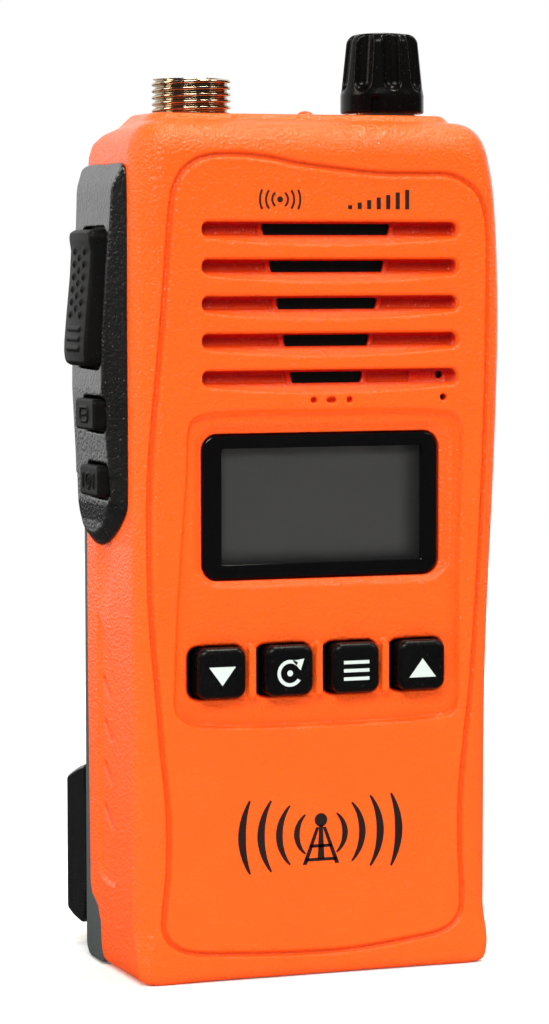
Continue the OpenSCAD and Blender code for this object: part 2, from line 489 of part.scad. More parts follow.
module clip_spring() color("gray") {
  translate([-3, pin_y, pin_z]) rotate([0, 90, 0]) for (i = [0:7]) translate([0, 0, i*0.8])
    rotate_extrude() translate([1.65, 0]) square([0.6, 0.6]);
  block([-3, yb + 1.5, 68.4], [-2.4, yb + 2.1, 71.5]);
  translate([-3, pin_y - 1.9, pin_z - 0.3]) rotate([7, 0, 0]) block([0, -0.3, -5.4], [0.6, 0.3, 0.4]);
}
module belt_clip() color("black") difference() {
  union() {
    for (s = [-1, 1]) rod_x(s*6.4 - 2.6, s*6.4 + 2.6, 2.5, pin_y, pin_z);
    for (s = [-1, 1]) translate([s*6.4 - 2.6, 0, 0]) yz(0, 5.2)
      polygon([[pin_y + 0.4, pin_z + 8], [pin_y + 2.4, pin_z + 2], [arm_y + arm_t, pin_z - 4], [arm_y, pin_z - 5], [pin_y - 1.4, pin_z - 2], [pin_y - 0.6, pin_z + 6]]);
    // thumb tab
    yz(-8.8, 8.8) polygon([[pin_y - 0.6, pin_z + 4.5], [pin_y + 2, pin_z + 4.5], [pin_y + 3, pin_z + 14], [pin_y + 2, pin_z + 15], [pin_y + 0.7, pin_z + 14.6]]);
    // arm
    yz(-12, 12) polygon([[arm_y, 22], [arm_y, pin_z - 4.4], [arm_y + arm_t, pin_z - 3.4], [arm_y + arm_t, 22]]);
    // lower paddle
    intersection() {
      yz(-paddle_w/2, paddle_w/2) polygon([[yb + 0.3, 5], [22.2, 5.1], [22.8, 5.5], [23, 6.2], [23, 23.6], [22.8, 24.4], [22.2, 24.9], [yb + 0.9, 27.6], [yb + 0.3, 27.4]]);
      xy(0, 40) { rr(-paddle_w/2, 5, paddle_w/2, 23, 1.4); }
    }
  }
  // hollow inside of the paddle, open towards the battery
  block([-paddle_w/2 + 1.8, yb - 1, 7], [paddle_w/2 - 1.8, yb + 3, 23]);
  rod_x(-14, 14, 1.05, pin_y, pin_z);
}

front_housing();
speaker_mesh();
speaker_frame();
speaker_cone();
speaker_magnet();
microphone();
microphone_boot();
display_lens();
lcd_panel();
lcd_frame();
backlight();
key_down();
key_scan();
key_menu();
key_up();
keypad_mat();
front_board();
main_board();
rf_shields();
chassis();
chassis_screws();
bay_contacts();
side_bezel();
ptt_button();
side_button_upper();
side_button_lower();
side_board();
side_switches();
volume_knob();
volume_shaft();
volume_control();
volume_nut();
antenna_connector();
antenna_insulator();
antenna_contact();
antenna_nut();
led_lens();
accessory_jack();
jack_cover();
rear_cover();
rear_cover_screws();
battery_case();
battery_cover();
battery_cells();
battery_board();
battery_terminals();
charge_contacts();
battery_latch();
clip_bracket();
clip_screws();
clip_pin();
clip_spring();
belt_clip();
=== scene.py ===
import json
import math

import bpy
import numpy as np
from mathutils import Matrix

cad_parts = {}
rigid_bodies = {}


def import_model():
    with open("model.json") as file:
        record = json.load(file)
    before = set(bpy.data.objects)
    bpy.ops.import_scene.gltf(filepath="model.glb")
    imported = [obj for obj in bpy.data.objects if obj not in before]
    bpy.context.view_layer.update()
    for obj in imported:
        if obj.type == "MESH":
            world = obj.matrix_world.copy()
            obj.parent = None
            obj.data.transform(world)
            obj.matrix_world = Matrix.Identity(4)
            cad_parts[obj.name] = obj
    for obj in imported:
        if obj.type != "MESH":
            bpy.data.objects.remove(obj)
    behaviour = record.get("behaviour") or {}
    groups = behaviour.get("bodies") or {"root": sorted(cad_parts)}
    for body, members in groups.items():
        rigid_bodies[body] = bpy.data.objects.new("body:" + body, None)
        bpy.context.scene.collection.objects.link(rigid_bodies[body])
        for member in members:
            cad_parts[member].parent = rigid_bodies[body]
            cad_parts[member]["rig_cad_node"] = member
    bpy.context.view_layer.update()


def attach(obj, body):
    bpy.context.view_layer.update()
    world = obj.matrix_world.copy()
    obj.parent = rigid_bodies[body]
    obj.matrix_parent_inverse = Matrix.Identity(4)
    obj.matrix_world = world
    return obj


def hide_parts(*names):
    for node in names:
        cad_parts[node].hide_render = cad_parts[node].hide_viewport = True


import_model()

import openvdb as vdb
from mathutils import Matrix, Vector

MM = 0.001
scene = bpy.context.scene
F = np.float32

# ---------------------------------------------------------------- signed distance tools (all in millimetres)


def smin(a, b, k):
    h = np.maximum(k - np.abs(a - b), 0) / k
    return np.minimum(a, b) - h * h * k * 0.25


def smax(a, b, k):
    return -smin(-a, -b, k)


def rint(a, b, r):
    """Intersection with a round edge of radius r."""
    u, v = a + r, b + r
    return np.minimum(np.maximum(u, v), 0) + np.hypot(np.maximum(u, 0), np.maximum(v, 0)) - r


def rrect(u, v, u0, v0, u1, v1, r):
    du = np.abs(u - (u0 + u1) / 2) - (u1 - u0) / 2 + r
    dv = np.abs(v - (v0 + v1) / 2) - (v1 - v0) / 2 + r
    return np.minimum(np.maximum(du, dv), 0) + np.hypot(np.maximum(du, 0), np.maximum(dv, 0)) - r


def box3(x, y, z, lo, hi, r):
    c = [(a + b) / 2 for a, b in zip(lo, hi)]
    q = [np.abs(p - m) - (b - a) / 2 + r for p, m, a, b in zip((x, y, z), c, lo, hi)]
    out = np.sqrt(sum(np.maximum(i, 0) ** 2 for i in q))
    return np.minimum(np.maximum(np.maximum(q[0], q[1]), q[2]), 0) + out - r


def capsule2(u, v, a, b, r):
    """Distance to a thick line from a to b in a plane."""
    d = (b[0] - a[0], b[1] - a[1])
    t = np.clip(((u - a[0]) * d[0] + (v - a[1]) * d[1]) / (d[0] ** 2 + d[1] ** 2), 0, 1)
    return np.hypot(u - a[0] - t * d[0], v - a[1] - t * d[1]) - r


def sstep(a, b, t):
    t = np.clip((t - a) / (b - a), 0, 1)
    return t * t * (3 - 2 * t)


def spline(pts, n=6, closed=True):
    """Catmull-Rom curve through the points."""
    p = np.array(pts, float)
    m = len(p)
    out = []
    for i in range(m if closed else m - 1):
        if closed:
            a, b, c, d = p[i - 1], p[i], p[(i + 1) % m], p[(i + 2) % m]
        else:
            a, b, c, d = p[max(i - 1, 0)], p[i], p[i + 1], p[min(i + 2, m - 1)]
        la, lb, lc = (max(np.linalg.norm(q), 1e-6) ** 0.5 for q in (b - a, c - b, d - c))
        for t in np.arange(n) / n:
            # centripetal form keeps corners from overshooting
            t0, t1, t2, t3 = 0, la, la + lb, la + lb + lc
            s = t1 + (t2 - t1) * t
            A1 = (t1 - s) / (t1 - t0) * a + (s - t0) / (t1 - t0) * b
            A2 = (t2 - s) / (t2 - t1) * b + (s - t1) / (t2 - t1) * c
            A3 = (t3 - s) / (t3 - t2) * c + (s - t2) / (t3 - t2) * d
            B1 = (t2 - s) / (t2 - t0) * A1 + (s - t0) / (t2 - t0) * A2
            B2 = (t3 - s) / (t3 - t1) * A2 + (s - t1) / (t3 - t1) * A3
            out.append((t2 - s) / (t2 - t1) * B1 + (s - t1) / (t2 - t1) * B2)
    if not closed:
        out.append(p[-1])
    return np.array(out)


class Field:
    """Signed distance to a closed outline, sampled once on a grid and read back by interpolation. Negative inside."""

    def __init__(self, pts, step=0.2, pad=6.0):
        p = np.array(pts, float)
        self.step = step
        self.lo = p.min(0) - pad
        n = np.ceil((p.max(0) + pad - self.lo) / step).astype(int) + 2
        u = self.lo[0] + np.arange(n[0]) * step
        v = self.lo[1] + np.arange(n[1]) * step
        U, V = (a.astype(F) for a in np.meshgrid(u, v, indexing="ij"))
        best = np.full(U.shape, 1e9, F)
        inside = np.zeros(U.shape, bool)
        for a, b in zip(p, np.roll(p, -1, 0)):
            d = b - a
            l2 = d @ d
            if l2 < 1e-12:
                continue
            t = np.clip(((U - a[0]) * d[0] + (V - a[1]) * d[1]) / l2, 0, 1)
            best = np.minimum(best, (U - a[0] - t * d[0]) ** 2 + (V - a[1] - t * d[1]) ** 2)
            if a[1] != b[1]:
                cross = (a[1] > V) != (b[1] > V)
                inside ^= cross & (U < a[0] + (V - a[1]) * d[0] / d[1])
        self.g = np.where(inside, -np.sqrt(best), np.sqrt(best)).astype(F)

    def __call__(self, u, v):
        a = np.clip((u - self.lo[0]) / self.step, 0, self.g.shape[0] - 1.001)
        b = np.clip((v - self.lo[1]) / self.step, 0, self.g.shape[1] - 1.001)
        i, j = a.astype(np.int32), b.astype(np.int32)
        a, b = (a - i).astype(F), (b - j).astype(F)
        g = self.g
        return (g[i, j] * (1 - a) + g[i + 1, j] * a) * (1 - b) + (g[i, j + 1] * (1 - a) + g[i + 1, j + 1] * a) * b


def new_mesh(name, co, faces3, faces4, smooth=True):
    me = bpy.data.meshes.new(name)
    me.vertices.add(len(co))
    me.vertices.foreach_set("co", (np.asarray(co, float) * MM).astype(F).ravel())
    loops = np.concatenate([np.asarray(faces3, np.int32).ravel(), np.asarray(faces4, np.int32).ravel()])
    n3, n4 = len(faces3), len(faces4)
    start = np.concatenate([np.arange(n3) * 3, n3 * 3 + np.arange(n4) * 4]).astype(np.int32)
    me.loops.add(len(loops))
    me.loops.foreach_set("vertex_index", loops)
    me.polygons.add(n3 + n4)
    me.polygons.foreach_set("loop_start", start)
    me.update(calc_edges=True)
    me.validate()
    if smooth:
        me.shade_smooth()
    ob = bpy.data.objects.new(name, me)
    scene.collection.objects.link(ob)
    return ob


def solid(name, f, lo, hi, h, adapt=0.0, B=8, ratio=None):
    """A closed mesh of the surface f = 0, with f negative inside, at voxel size h."""
    lo = np.array(lo, float) - 3 * h
    hi = np.array(hi, float) + 3 * h
    nb = np.ceil((hi - lo) / (h * B)).astype(int)
    ax = [(lo[k] + (np.arange(nb[k]) + 0.5) * B * h - 0.5 * h).astype(F) for k in range(3)]
    X, Y, Z = np.meshgrid(*ax, indexing="ij")
    d = f(X.ravel(), Y.ravel(), Z.ravel()).reshape(X.shape)
    reach = 0.5 * B * h * 1.7321 * 1.25 + 2 * h
    bg = 3 * h
    sign = np.where(d > 0, bg, -bg).astype(F)
    arr = np.repeat(np.repeat(np.repeat(sign, B, 0), B, 1), B, 2)
    six = arr.reshape(nb[0], B, nb[1], B, nb[2], B)
    act = np.argwhere(np.abs(d) < reach)
    off = (np.arange(B) * h).astype(F)
    for s in range(0, len(act), 3000):
        a = act[s : s + 3000]
        o = (lo + a * (B * h)).astype(F)
        x = np.broadcast_to(o[:, 0, None, None, None] + off[None, :, None, None], (len(a), B, B, B)).ravel()
        y = np.broadcast_to(o[:, 1, None, None, None] + off[None, None, :, None], (len(a), B, B, B)).ravel()
        z = np.broadcast_to(o[:, 2, None, None, None] + off[None, None, None, :], (len(a), B, B, B)).ravel()
        v = np.clip(f(x, y, z), -bg, bg).astype(F).reshape(len(a), B, B, B)
        six[a[:, 0], :, a[:, 1], :, a[:, 2], :] = v
    grid = vdb.FloatGrid(float(bg))
    grid.copyFromArray(arr)
    pts, tris, quads = grid.convertToPolygons(isovalue=0.0, adaptivity=adapt)
    co = pts.astype(float) * h + lo
    ob = new_mesh(name, co, tris, quads)
    if ratio:
        m = ob.modifiers.new("thin", "DECIMATE")
        m.ratio = ratio
        dg = bpy.context.evaluated_depsgraph_get()
        me = bpy.data.meshes.new_from_object(ob.evaluated_get(dg))
        ob.modifiers.clear()
        ob.data = me
        me.shade_smooth()
    return ob


def prism(name, outlines, y0, y1):
    """Flat print or inlay: closed outlines in x and z, from y0 to y1."""
    co, faces = [], []
    for pts in outlines:
        p = np.array(pts, float)
        if 0.5 * np.sum(p[:, 0] * np.roll(p[:, 1], -1) - np.roll(p[:, 0], -1) * p[:, 1]) < 0:
            p = p[::-1]
        n, s = len(p), len(co)
        co += [(x, y0, z) for x, z in p] + [(x, y1, z) for x, z in p]
        faces.append([s + i for i in range(n)])
        faces.append([s + n + i for i in reversed(range(n))])
        faces += [[s + (i + 1) % n, s + i, s + n + i, s + n + (i + 1) % n] for i in range(n)]
    me = bpy.data.meshes.new(name)
    me.from_pydata([tuple(c * MM for c in v) for v in co], [], faces)
    me.update()
    ob = bpy.data.objects.new(name, me)
    scene.collection.objects.link(ob)
    return ob


def arc(cx, cz, r, w, a0, a1, n=24, taper=0.0):
    """Outline of a band along part of a circle, thinner towards its ends by taper."""
    t = np.linspace(0, 1, n)
    a = np.radians(a0 + (a1 - a0) * t)
    hw = w / 2 * (1 - taper * np.abs(2 * t - 1) ** 1.6)
    outer = [(cx + (r + h) * math.cos(q), cz + (r + h) * math.sin(q)) for q, h in zip(a, hw)]
    inner = [(cx + (r - h) * math.cos(q), cz + (r - h) * math.sin(q)) for q, h in zip(a, hw)]
    return outer + inner[::-1]


def disc(cx, cz, r, n=28):
    return [(cx + r * math.cos(2 * math.pi * i / n), cz + r * math.sin(2 * math.pi * i / n)) for i in range(n)]


# ---------------------------------------------------------------- materials


class Tree:
    def __init__(self, name):
        self.m = bpy.data.materials.new(name)
        self.m.use_nodes = True
        self.t = self.m.node_tree
        self.t.nodes.clear()
        self.out = self.n("ShaderNodeOutputMaterial")
        self.xyz = self.n("ShaderNodeTexCoord").outputs["Object"]

    def n(self, kind, **kw):
        node = self.t.nodes.new(kind)
        for k, v in kw.items():
            if k in node.inputs:
                node.inputs[k].default_value = v
            else:
                setattr(node, k, v)
        return node

    def link(self, a, b):
        self.t.links.new(a, b)

    def noise(self, scale, detail=2.0, rough=0.5, stretch=None):
        node = self.n("ShaderNodeTexNoise")
        node.inputs["Scale"].default_value = scale
        node.inputs["Detail"].default_value = detail
        node.inputs["Roughness"].default_value = rough
        v = self.xyz
        if stretch:
            mp = self.n("ShaderNodeMapping")
            mp.inputs["Scale"].default_value = stretch
            self.link(v, mp.inputs["Vector"])
            v = mp.outputs["Vector"]
        self.link(v, node.inputs["Vector"])
        return node.outputs["Fac"]

    def ramp(self, fac, stops):
        node = self.n("ShaderNodeValToRGB")
        e = node.color_ramp.elements
        while len(e) < len(stops):
            e.new(0.5)
        for s, (p, c) in zip(e, stops):
            s.position = p
            s.color = (c, c, c, 1) if isinstance(c, (int, float)) else (*c, 1)
        self.link(fac, node.inputs["Fac"])
        return node.outputs["Color"]

    def mixc(self, fac, a, b):
        node = self.n("ShaderNodeMix", data_type="RGBA")
        for sock, v in ((node.inputs[0], fac), (node.inputs[6], a), (node.inputs[7], b)):
            if isinstance(v, bpy.types.NodeSocket):
                self.link(v, sock)
            elif isinstance(v, (int, float)):
                sock.default_value = v
            else:
                sock.default_value = (*v, 1)
        return node.outputs[2]

    def math(self, op, a, b=0.0):
        node = self.n("ShaderNodeMath", operation=op)
        for sock, v in ((node.inputs[0], a), (node.inputs[1], b)):
            if isinstance(v, bpy.types.NodeSocket):
                self.link(v, sock)
            else:
                sock.default_value = v
        return node.outputs[0]

    def bump(self, height, dist, strength=1.0, after=None):
        node = self.n("ShaderNodeBump")
        node.inputs["Strength"].default_value = strength
        node.inputs["Distance"].default_value = dist
        self.link(height, node.inputs["Height"])
        if after:
            self.link(after, node.inputs["Normal"])
        return node.outputs["Normal"]


def plastic(name, base, rough=0.4, metal=0.0, grain=0.0, grain_mm=0.25, vary=0.06, rvary=0.08, dust_and_glint=0.0, spec=0.5,
            coat=0.0, recess_shade=None, brushed=None, sss=0.0):
    """A moulded or machined finish: uneven colour and gloss, a fine grain, faint handling marks and, where asked,
    painted shade in the lines, gaps and slots.
    """
    k = Tree(name)
    p = k.n("ShaderNodeBsdfPrincipled")
    k.link(p.outputs[0], k.out.inputs["Surface"])
    p.inputs["Metallic"].default_value = metal
    p.inputs["Specular IOR Level"].default_value = spec
    big = k.noise(90, 3)
    dark = tuple(c * (1 - vary) for c in base)
    light = tuple(min(1, c * (1 + vary * 0.6)) for c in base)
    col = k.mixc(k.ramp(big, [(0.3, 0.0), (0.7, 1.0)]), dark, light)
    # light specks painted into the colour: dust, and on the bezel also painted glints standing in for the sparkle of
    # its grain
    if dust_and_glint:
        col = k.mixc(k.math("MULTIPLY", k.ramp(k.noise(2600, 2), [(0.66, 0.0), (0.74, 1.0)]), dust_and_glint), col, (0.55, 0.53, 0.5))
    # painted shade: where asked, the colour darkens by the 'deep' attribute in lines, gaps and slots, where shade
    # would fall
    if recess_shade:
        at = k.n("ShaderNodeAttribute", attribute_name="deep")
        col = k.mixc(at.outputs["Fac"], col, recess_shade)
    k.link(col, p.inputs["Base Color"])
    # roughness: a broad drift with fine scuffs drawn across it
    scuff = k.ramp(k.noise(420, 4, 0.7, stretch=(1, 1, 0.22)), [(0.58, 0.0), (0.72, 1.0)])
    r = k.math("ADD", rough - rvary * 0.5, k.math("MULTIPLY", k.noise(300, 3), rvary))
    r = k.math("ADD", r, k.math("MULTIPLY", scuff, rvary * 0.6))
    k.link(r, p.inputs["Roughness"])
    if coat:
        p.inputs["Coat Weight"].default_value = coat
        p.inputs["Coat Roughness"].default_value = 0.08
    if sss:
        p.inputs["Subsurface Weight"].default_value = sss
        p.inputs["Subsurface Radius"].default_value = (0.0012, 0.0004, 0.0002)
    nrm = None
    if brushed:
        nrm = k.bump(k.noise(1800, 2, 0.5, stretch=brushed), 0.00002, 0.35)
    if grain:
        cell = k.n("ShaderNodeTexVoronoi")
        cell.inputs["Scale"].default_value = 1000 / grain_mm / 1.6
        k.link(k.xyz, cell.inputs["Vector"])
        h = k.math("ADD", k.math("MULTIPLY", cell.outputs["Distance"], 0.7), k.noise(1000 / grain_mm, 2))
        nrm = k.bump(h, grain * MM, 1.0, nrm)
    else:
        nrm = k.bump(k.noise(1400, 2), 0.000004, 0.6, nrm)
    k.link(nrm, p.inputs["Normal"])
    return k.m


ORANGE = (0.93, 0.104, 0.01)
M = {}
# orange shell: dark red painted shade in its lines, key gaps, lens border, slots and flank grooves
M["orange"] = plastic("orange_shell", ORANGE, rough=0.22, grain=0.15, grain_mm=0.32, vary=0.03, rvary=0.03, recess_shade=(0.36, 0.001, 0.0), spec=0.24)
# bezel: its light specks are partly dust and partly painted glints of the grain
M["bezel"] = plastic("bezel_plastic", (0.005, 0.005, 0.0053), rough=0.27, grain=0.06, grain_mm=0.32, vary=0.25, dust_and_glint=0.12, spec=0.8)
M["ptt"] = plastic("ptt_rubber", (0.005, 0.005, 0.005), rough=0.45, grain=0.02, grain_mm=0.2, vary=0.25, dust_and_glint=0.03, spec=0.07)
M["key"] = plastic("key_rubber", (0.003, 0.0032, 0.0036), rough=0.28, grain=0.006, grain_mm=0.15, vary=0.2, dust_and_glint=0.03, spec=0.12)
M["knob"] = plastic("knob_rubber", (0.003, 0.0028, 0.0028), rough=0.22, grain=0.006, grain_mm=0.2, vary=0.25, dust_and_glint=0.03, spec=0.08)
M["rubber"] = plastic("black_rubber", (0.015, 0.015, 0.015), rough=0.6, grain=0.02, grain_mm=0.2, vary=0.2, dust_and_glint=0.2)
M["grey_rubber"] = plastic("grey_rubber", (0.16, 0.16, 0.165), rough=0.6, grain=0.02, grain_mm=0.2)
M["battery"] = plastic("battery_plastic", (0.055, 0.068, 0.072), rough=0.45, spec=0.35, grain=0.03, grain_mm=0.28, vary=0.08, dust_and_glint=0.1)
M["clip"] = plastic("clip_plastic", (0.003, 0.003, 0.0034), rough=0.14, vary=0.25, dust_and_glint=0.02, spec=0.2)
M["white"] = plastic("white_plastic", (0.78, 0.78, 0.75), rough=0.45)
M["insulator"] = plastic("white_insulator", (0.8, 0.79, 0.76), rough=0.4)
M["print"] = plastic("dark_print", (0.016, 0.006, 0.005), rough=0.45, vary=0.2, grain=0.012, grain_mm=0.2)
M["icon"] = plastic("white_print", (0.56, 0.64, 0.62), rough=0.5, vary=0.05)
M["steel"] = plastic("steel", (0.5, 0.5, 0.5), rough=0.32, metal=1.0, brushed=(1, 1, 0.1))
M["spring"] = plastic("spring_steel", (0.45, 0.45, 0.46), rough=0.28, metal=1.0, brushed=(0.1, 1, 1))
M["tin"] = plastic("tinplate", (0.62, 0.62, 0.6), rough=0.3, metal=1.0, brushed=(0.15, 1, 1))
M["alloy"] = plastic("cast_alloy", (0.52, 0.52, 0.52), rough=0.5, metal=1.0, grain=0.03, grain_mm=0.4)
M["aluminium"] = plastic("aluminium", (0.66, 0.66, 0.67), rough=0.3, metal=1.0, brushed=(1, 0.1, 1))
M["gold"] = plastic("gold_contact", (0.83, 0.6, 0.25), rough=0.25, metal=1.0, brushed=(1, 1, 0.1))
M["nickel"] = plastic("nickel", (0.5, 0.4, 0.28), rough=0.12, metal=1.0, rvary=0.1, vary=0.08)
M["board"] = plastic("circuit_board", (0.015, 0.11, 0.045), rough=0.35, vary=0.25, rvary=0.15, grain=0.015, grain_mm=0.4)
M["cell"] = plastic("cell_wrap", (0.06, 0.2, 0.42), rough=0.3, vary=0.08)
M["cone"] = plastic("speaker_cone", (0.03, 0.03, 0.032), rough=0.7, grain=0.04, grain_mm=0.4)
M["mesh"] = plastic("black_mesh", (0.004, 0.004, 0.004), rough=0.85, grain=0.05, grain_mm=0.3, spec=0.1)
M["gloss"] = plastic("display_lens", (0.002, 0.002, 0.0024), rough=0.07, vary=0.2, rvary=0.03, spec=0.35)
M["led"] = plastic("led_lens", (0.85, 0.09, 0.015), rough=0.14, vary=0.05, spec=0.5, sss=0.3)


def lcd_material():
    """Grey display: a faint pixel grid, and darker towards its right and lower edges where the frame shades it."""
    k = Tree("lcd_glass")
    p = k.n("ShaderNodeBsdfPrincipled")
    k.link(p.outputs[0], k.out.inputs["Surface"])
    sep = k.n("ShaderNodeSeparateXYZ")
    k.link(k.xyz, sep.inputs[0])
    right = k.ramp(k.math("MULTIPLY", k.math("SUBTRACT", 0.01622, sep.outputs[0]), 300.0), [(0.0, 0.0), (0.4, 0.25), (0.8, 0.8), (1.0, 1.0)])
    low = k.ramp(k.math("MULTIPLY", k.math("SUBTRACT", sep.outputs[2], 0.05775), 420.0), [(0.0, 0.0), (0.6, 0.75), (1.0, 1.0)])
    shade = k.mixc(k.math("MULTIPLY", right, low), (0.009, 0.009, 0.009), (0.036, 0.037, 0.037))
    dots = k.n("ShaderNodeTexChecker")
    dots.inputs["Scale"].default_value = 2600
    k.link(k.xyz, dots.inputs["Vector"])
    shade = k.mixc(k.math("MULTIPLY", dots.outputs["Fac"], 0.05), shade, (0.04, 0.045, 0.045))
    cloud = k.mixc(k.math("MULTIPLY", k.noise(120, 3), 0.12), shade, (0.075, 0.075, 0.075))
    k.link(cloud, p.inputs["Base Color"])
    r = k.math("ADD", 0.3, k.math("MULTIPLY", k.noise(500, 2), 0.1))
    k.link(r, p.inputs["Roughness"])
    p.inputs["Specular IOR Level"].default_value = 0.2
    k.link(k.bump(k.noise(2500, 1), 0.000002, 0.5), p.inputs["Normal"])
    return k.m


def glass_material():
    """Clear cover over the display: passes light straight through with a thin gloss, a little uneven."""
    k = Tree("clear_cover")
    tr = k.n("ShaderNodeBsdfTransparent")
    gl = k.n("ShaderNodeBsdfGlossy")
    gl.inputs["Roughness"].default_value = 0.05
    k.link(k.ramp(k.noise(200, 3), [(0.2, 0.9), (0.8, 1.0)]), gl.inputs["Color"])
    k.link(k.bump(k.noise(60, 2), 0.00001, 0.15), gl.inputs["Normal"])
    mx = k.n("ShaderNodeMixShader")
    k.link(k.math("ADD", 0.015, k.math("MULTIPLY", k.ramp(k.noise(900, 4, 0.7), [(0.55, 0.0), (0.75, 1.0)]), 0.01)), mx.inputs[0])
    k.link(tr.outputs[0], mx.inputs[1])
    k.link(gl.outputs[0], mx.inputs[2])
    k.link(mx.outputs[0], k.out.inputs["Surface"])
    return k.m


M["lcd"] = lcd_material()
M["clear"] = glass_material()


def paint(ob, key):
    ob.data.materials.clear()
    ob.data.materials.append(M[key])
    return ob


def place(ob, key, body, node=None):
    """Finish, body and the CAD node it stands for."""
    paint(ob, key)
    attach(ob, body)
    if node:
        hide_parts(*([node] if isinstance(node, str) else node))
    return ob


# ---------------------------------------------------------------- case outlines (x, z) and (y, z)
OUT = [[24, 0], [25.5, 0.5], [26.1, 2.5], [26.25, 8], [26.3, 22], [26.4, 37], [26.55, 44], [26.85, 52],
       [27.25, 60], [27.85, 72], [28.15, 80], [28.38, 90], [28.35, 95], [28.15, 102], [27.75, 108], [27.3, 112.5], [26.7, 115.4],
       [25.6, 117.3], [24.2, 118.4], [22.2, 118.95], [16, 119], [0, 119], [-18, 119],
       [-22.1, 118.95], [-24.2, 118.2], [-25.6, 116.6], [-26.2, 114.4], [-26.3, 110], [-26.3, 90], [-26.3, 60], [-26.3, 30], [-26.3, 8],
       [-26.25, 2.6], [-25.7, 0.8], [-24.2, 0], [-16, 0], [0, 0], [16, 0]]
RING = [[-19.1, 4.5], [-11.7, 3.8], [-2.9, 3.4], [4.6, 3.4], [12.2, 4.1], [18.3, 5], [20.3, 6], [21.4, 7.6],
        [21.7, 10], [21.4, 17], [21.5, 25], [22.2, 32], [23, 39], [23.6, 46], [24.2, 55], [24.9, 68], [25.4, 82],
        [25.6, 94], [25.5, 105], [25, 107], [24, 109.1], [22, 110.7], [19.7, 111.6], [15.2, 111.7],
        [9.2, 111.75], [3.2, 112.3], [-2.7, 113], [-7.1, 113.8], [-11.4, 114.2], [-15.8, 114],
        [-17.9, 113.3], [-19.8, 111.7], [-21, 109.2], [-21.3, 107.8], [-21.9, 101], [-22.3, 95.7],
        [-23.1, 86], [-23.8, 78], [-24.3, 69.9], [-24.4, 60.4], [-24.2, 50.8], [-23.5, 41], [-22.9, 32.8],
        [-22.2, 25.9], [-22, 20.4], [-22.2, 14.8], [-22.7, 10], [-22.7, 7.6], [-21.5, 5.7]]
PANEL = [[-19.6, 36.2], [-17.5, 35.6], [0, 35], [18.5, 35.4], [20.4, 35.9], [21.2, 37.3], [21.4, 45], [21.5, 58],
         [21.9, 70], [21.9, 76.4], [21, 78.2], [19.5, 78.9], [0, 79.4], [-17, 79], [-18.6, 78.2], [-19.3, 76.4],
         [-19.6, 70], [-20.9, 53], [-21.3, 43], [-21.2, 37.8]]
YF, YI, YR = -13.0, -11.2, -12.0
YK = YR + 2.4
SIDE = [[-40, -20], [3.6, -20], [4.4, -3], [4.8, 0], [5.0, 3], [5.3, 6], [6.6, 8.2], [9.4, 9.6], [10.1, 11], [10.5, 26], [10.9, 44], [10.9, 70],
        [10.9, 92], [10.2, 103], [9.6, 111], [9.2, 114.4], [8.2, 116.2], [5.6, 117.4], [1, 118.2], [-3.6, 118.7], [-9, 119.2], [-40, 119.4]]
BEZ = [[-8.6, 66.5], [-8.6, 90], [-8.6, 111], [-8.1, 112.5], [-6.8, 113], [0, 113], [8.6, 113], [10.2, 112.4],
       [10.7, 110.8], [10.7, 90], [10.7, 66], [10.3, 63.6], [8.8, 61.4], [6.4, 60.3], [3.3, 59.9], [0, 60.5], [-3.6, 62], [-6.6, 63.9], [-8.1, 65.2]]
LENS = (1.13, 65.75)
KEYX = [0.02 + (i - 1.5) * 9.9 for i in range(4)]
PTTZ = 94.6
SBZ = (78.55, 69.35)

f_out = Field(spline(OUT, 5), 0.15)
f_ring = Field(spline(RING, 5), 0.12, 3)
f_panel = Field(spline(PANEL, 5), 0.12, 3)
f_side = Field(SIDE, 0.2, 3)
f_bez = Field(spline(BEZ, 4), 0.12, 4)
SLOT_XL = np.array([-7.96, -6.8, -5.8, -4.8, -3.75], F)
SLOT_XR = np.array([11.11, 10.2, 9.2, 8.0, 7.0], F)
LOWPANEL = Field(spline([[5.8, 50.2], [1.6, 46.4], [-2.1, 42.8], [-2.4, 41], [-2.4, 28], [-2.4, 14], [-2.0, 12.6], [-0.5, 12], [3, 12.2], [5, 12.8], [6, 14.5],
                         [6.1, 28], [6.2, 42], [6.2, 49.4]], 4), 0.12, 4)
PILLS = [(2.8, 39.9), (2.2, 33.8), (2.3, 27.8), (2.4, 21.8)]


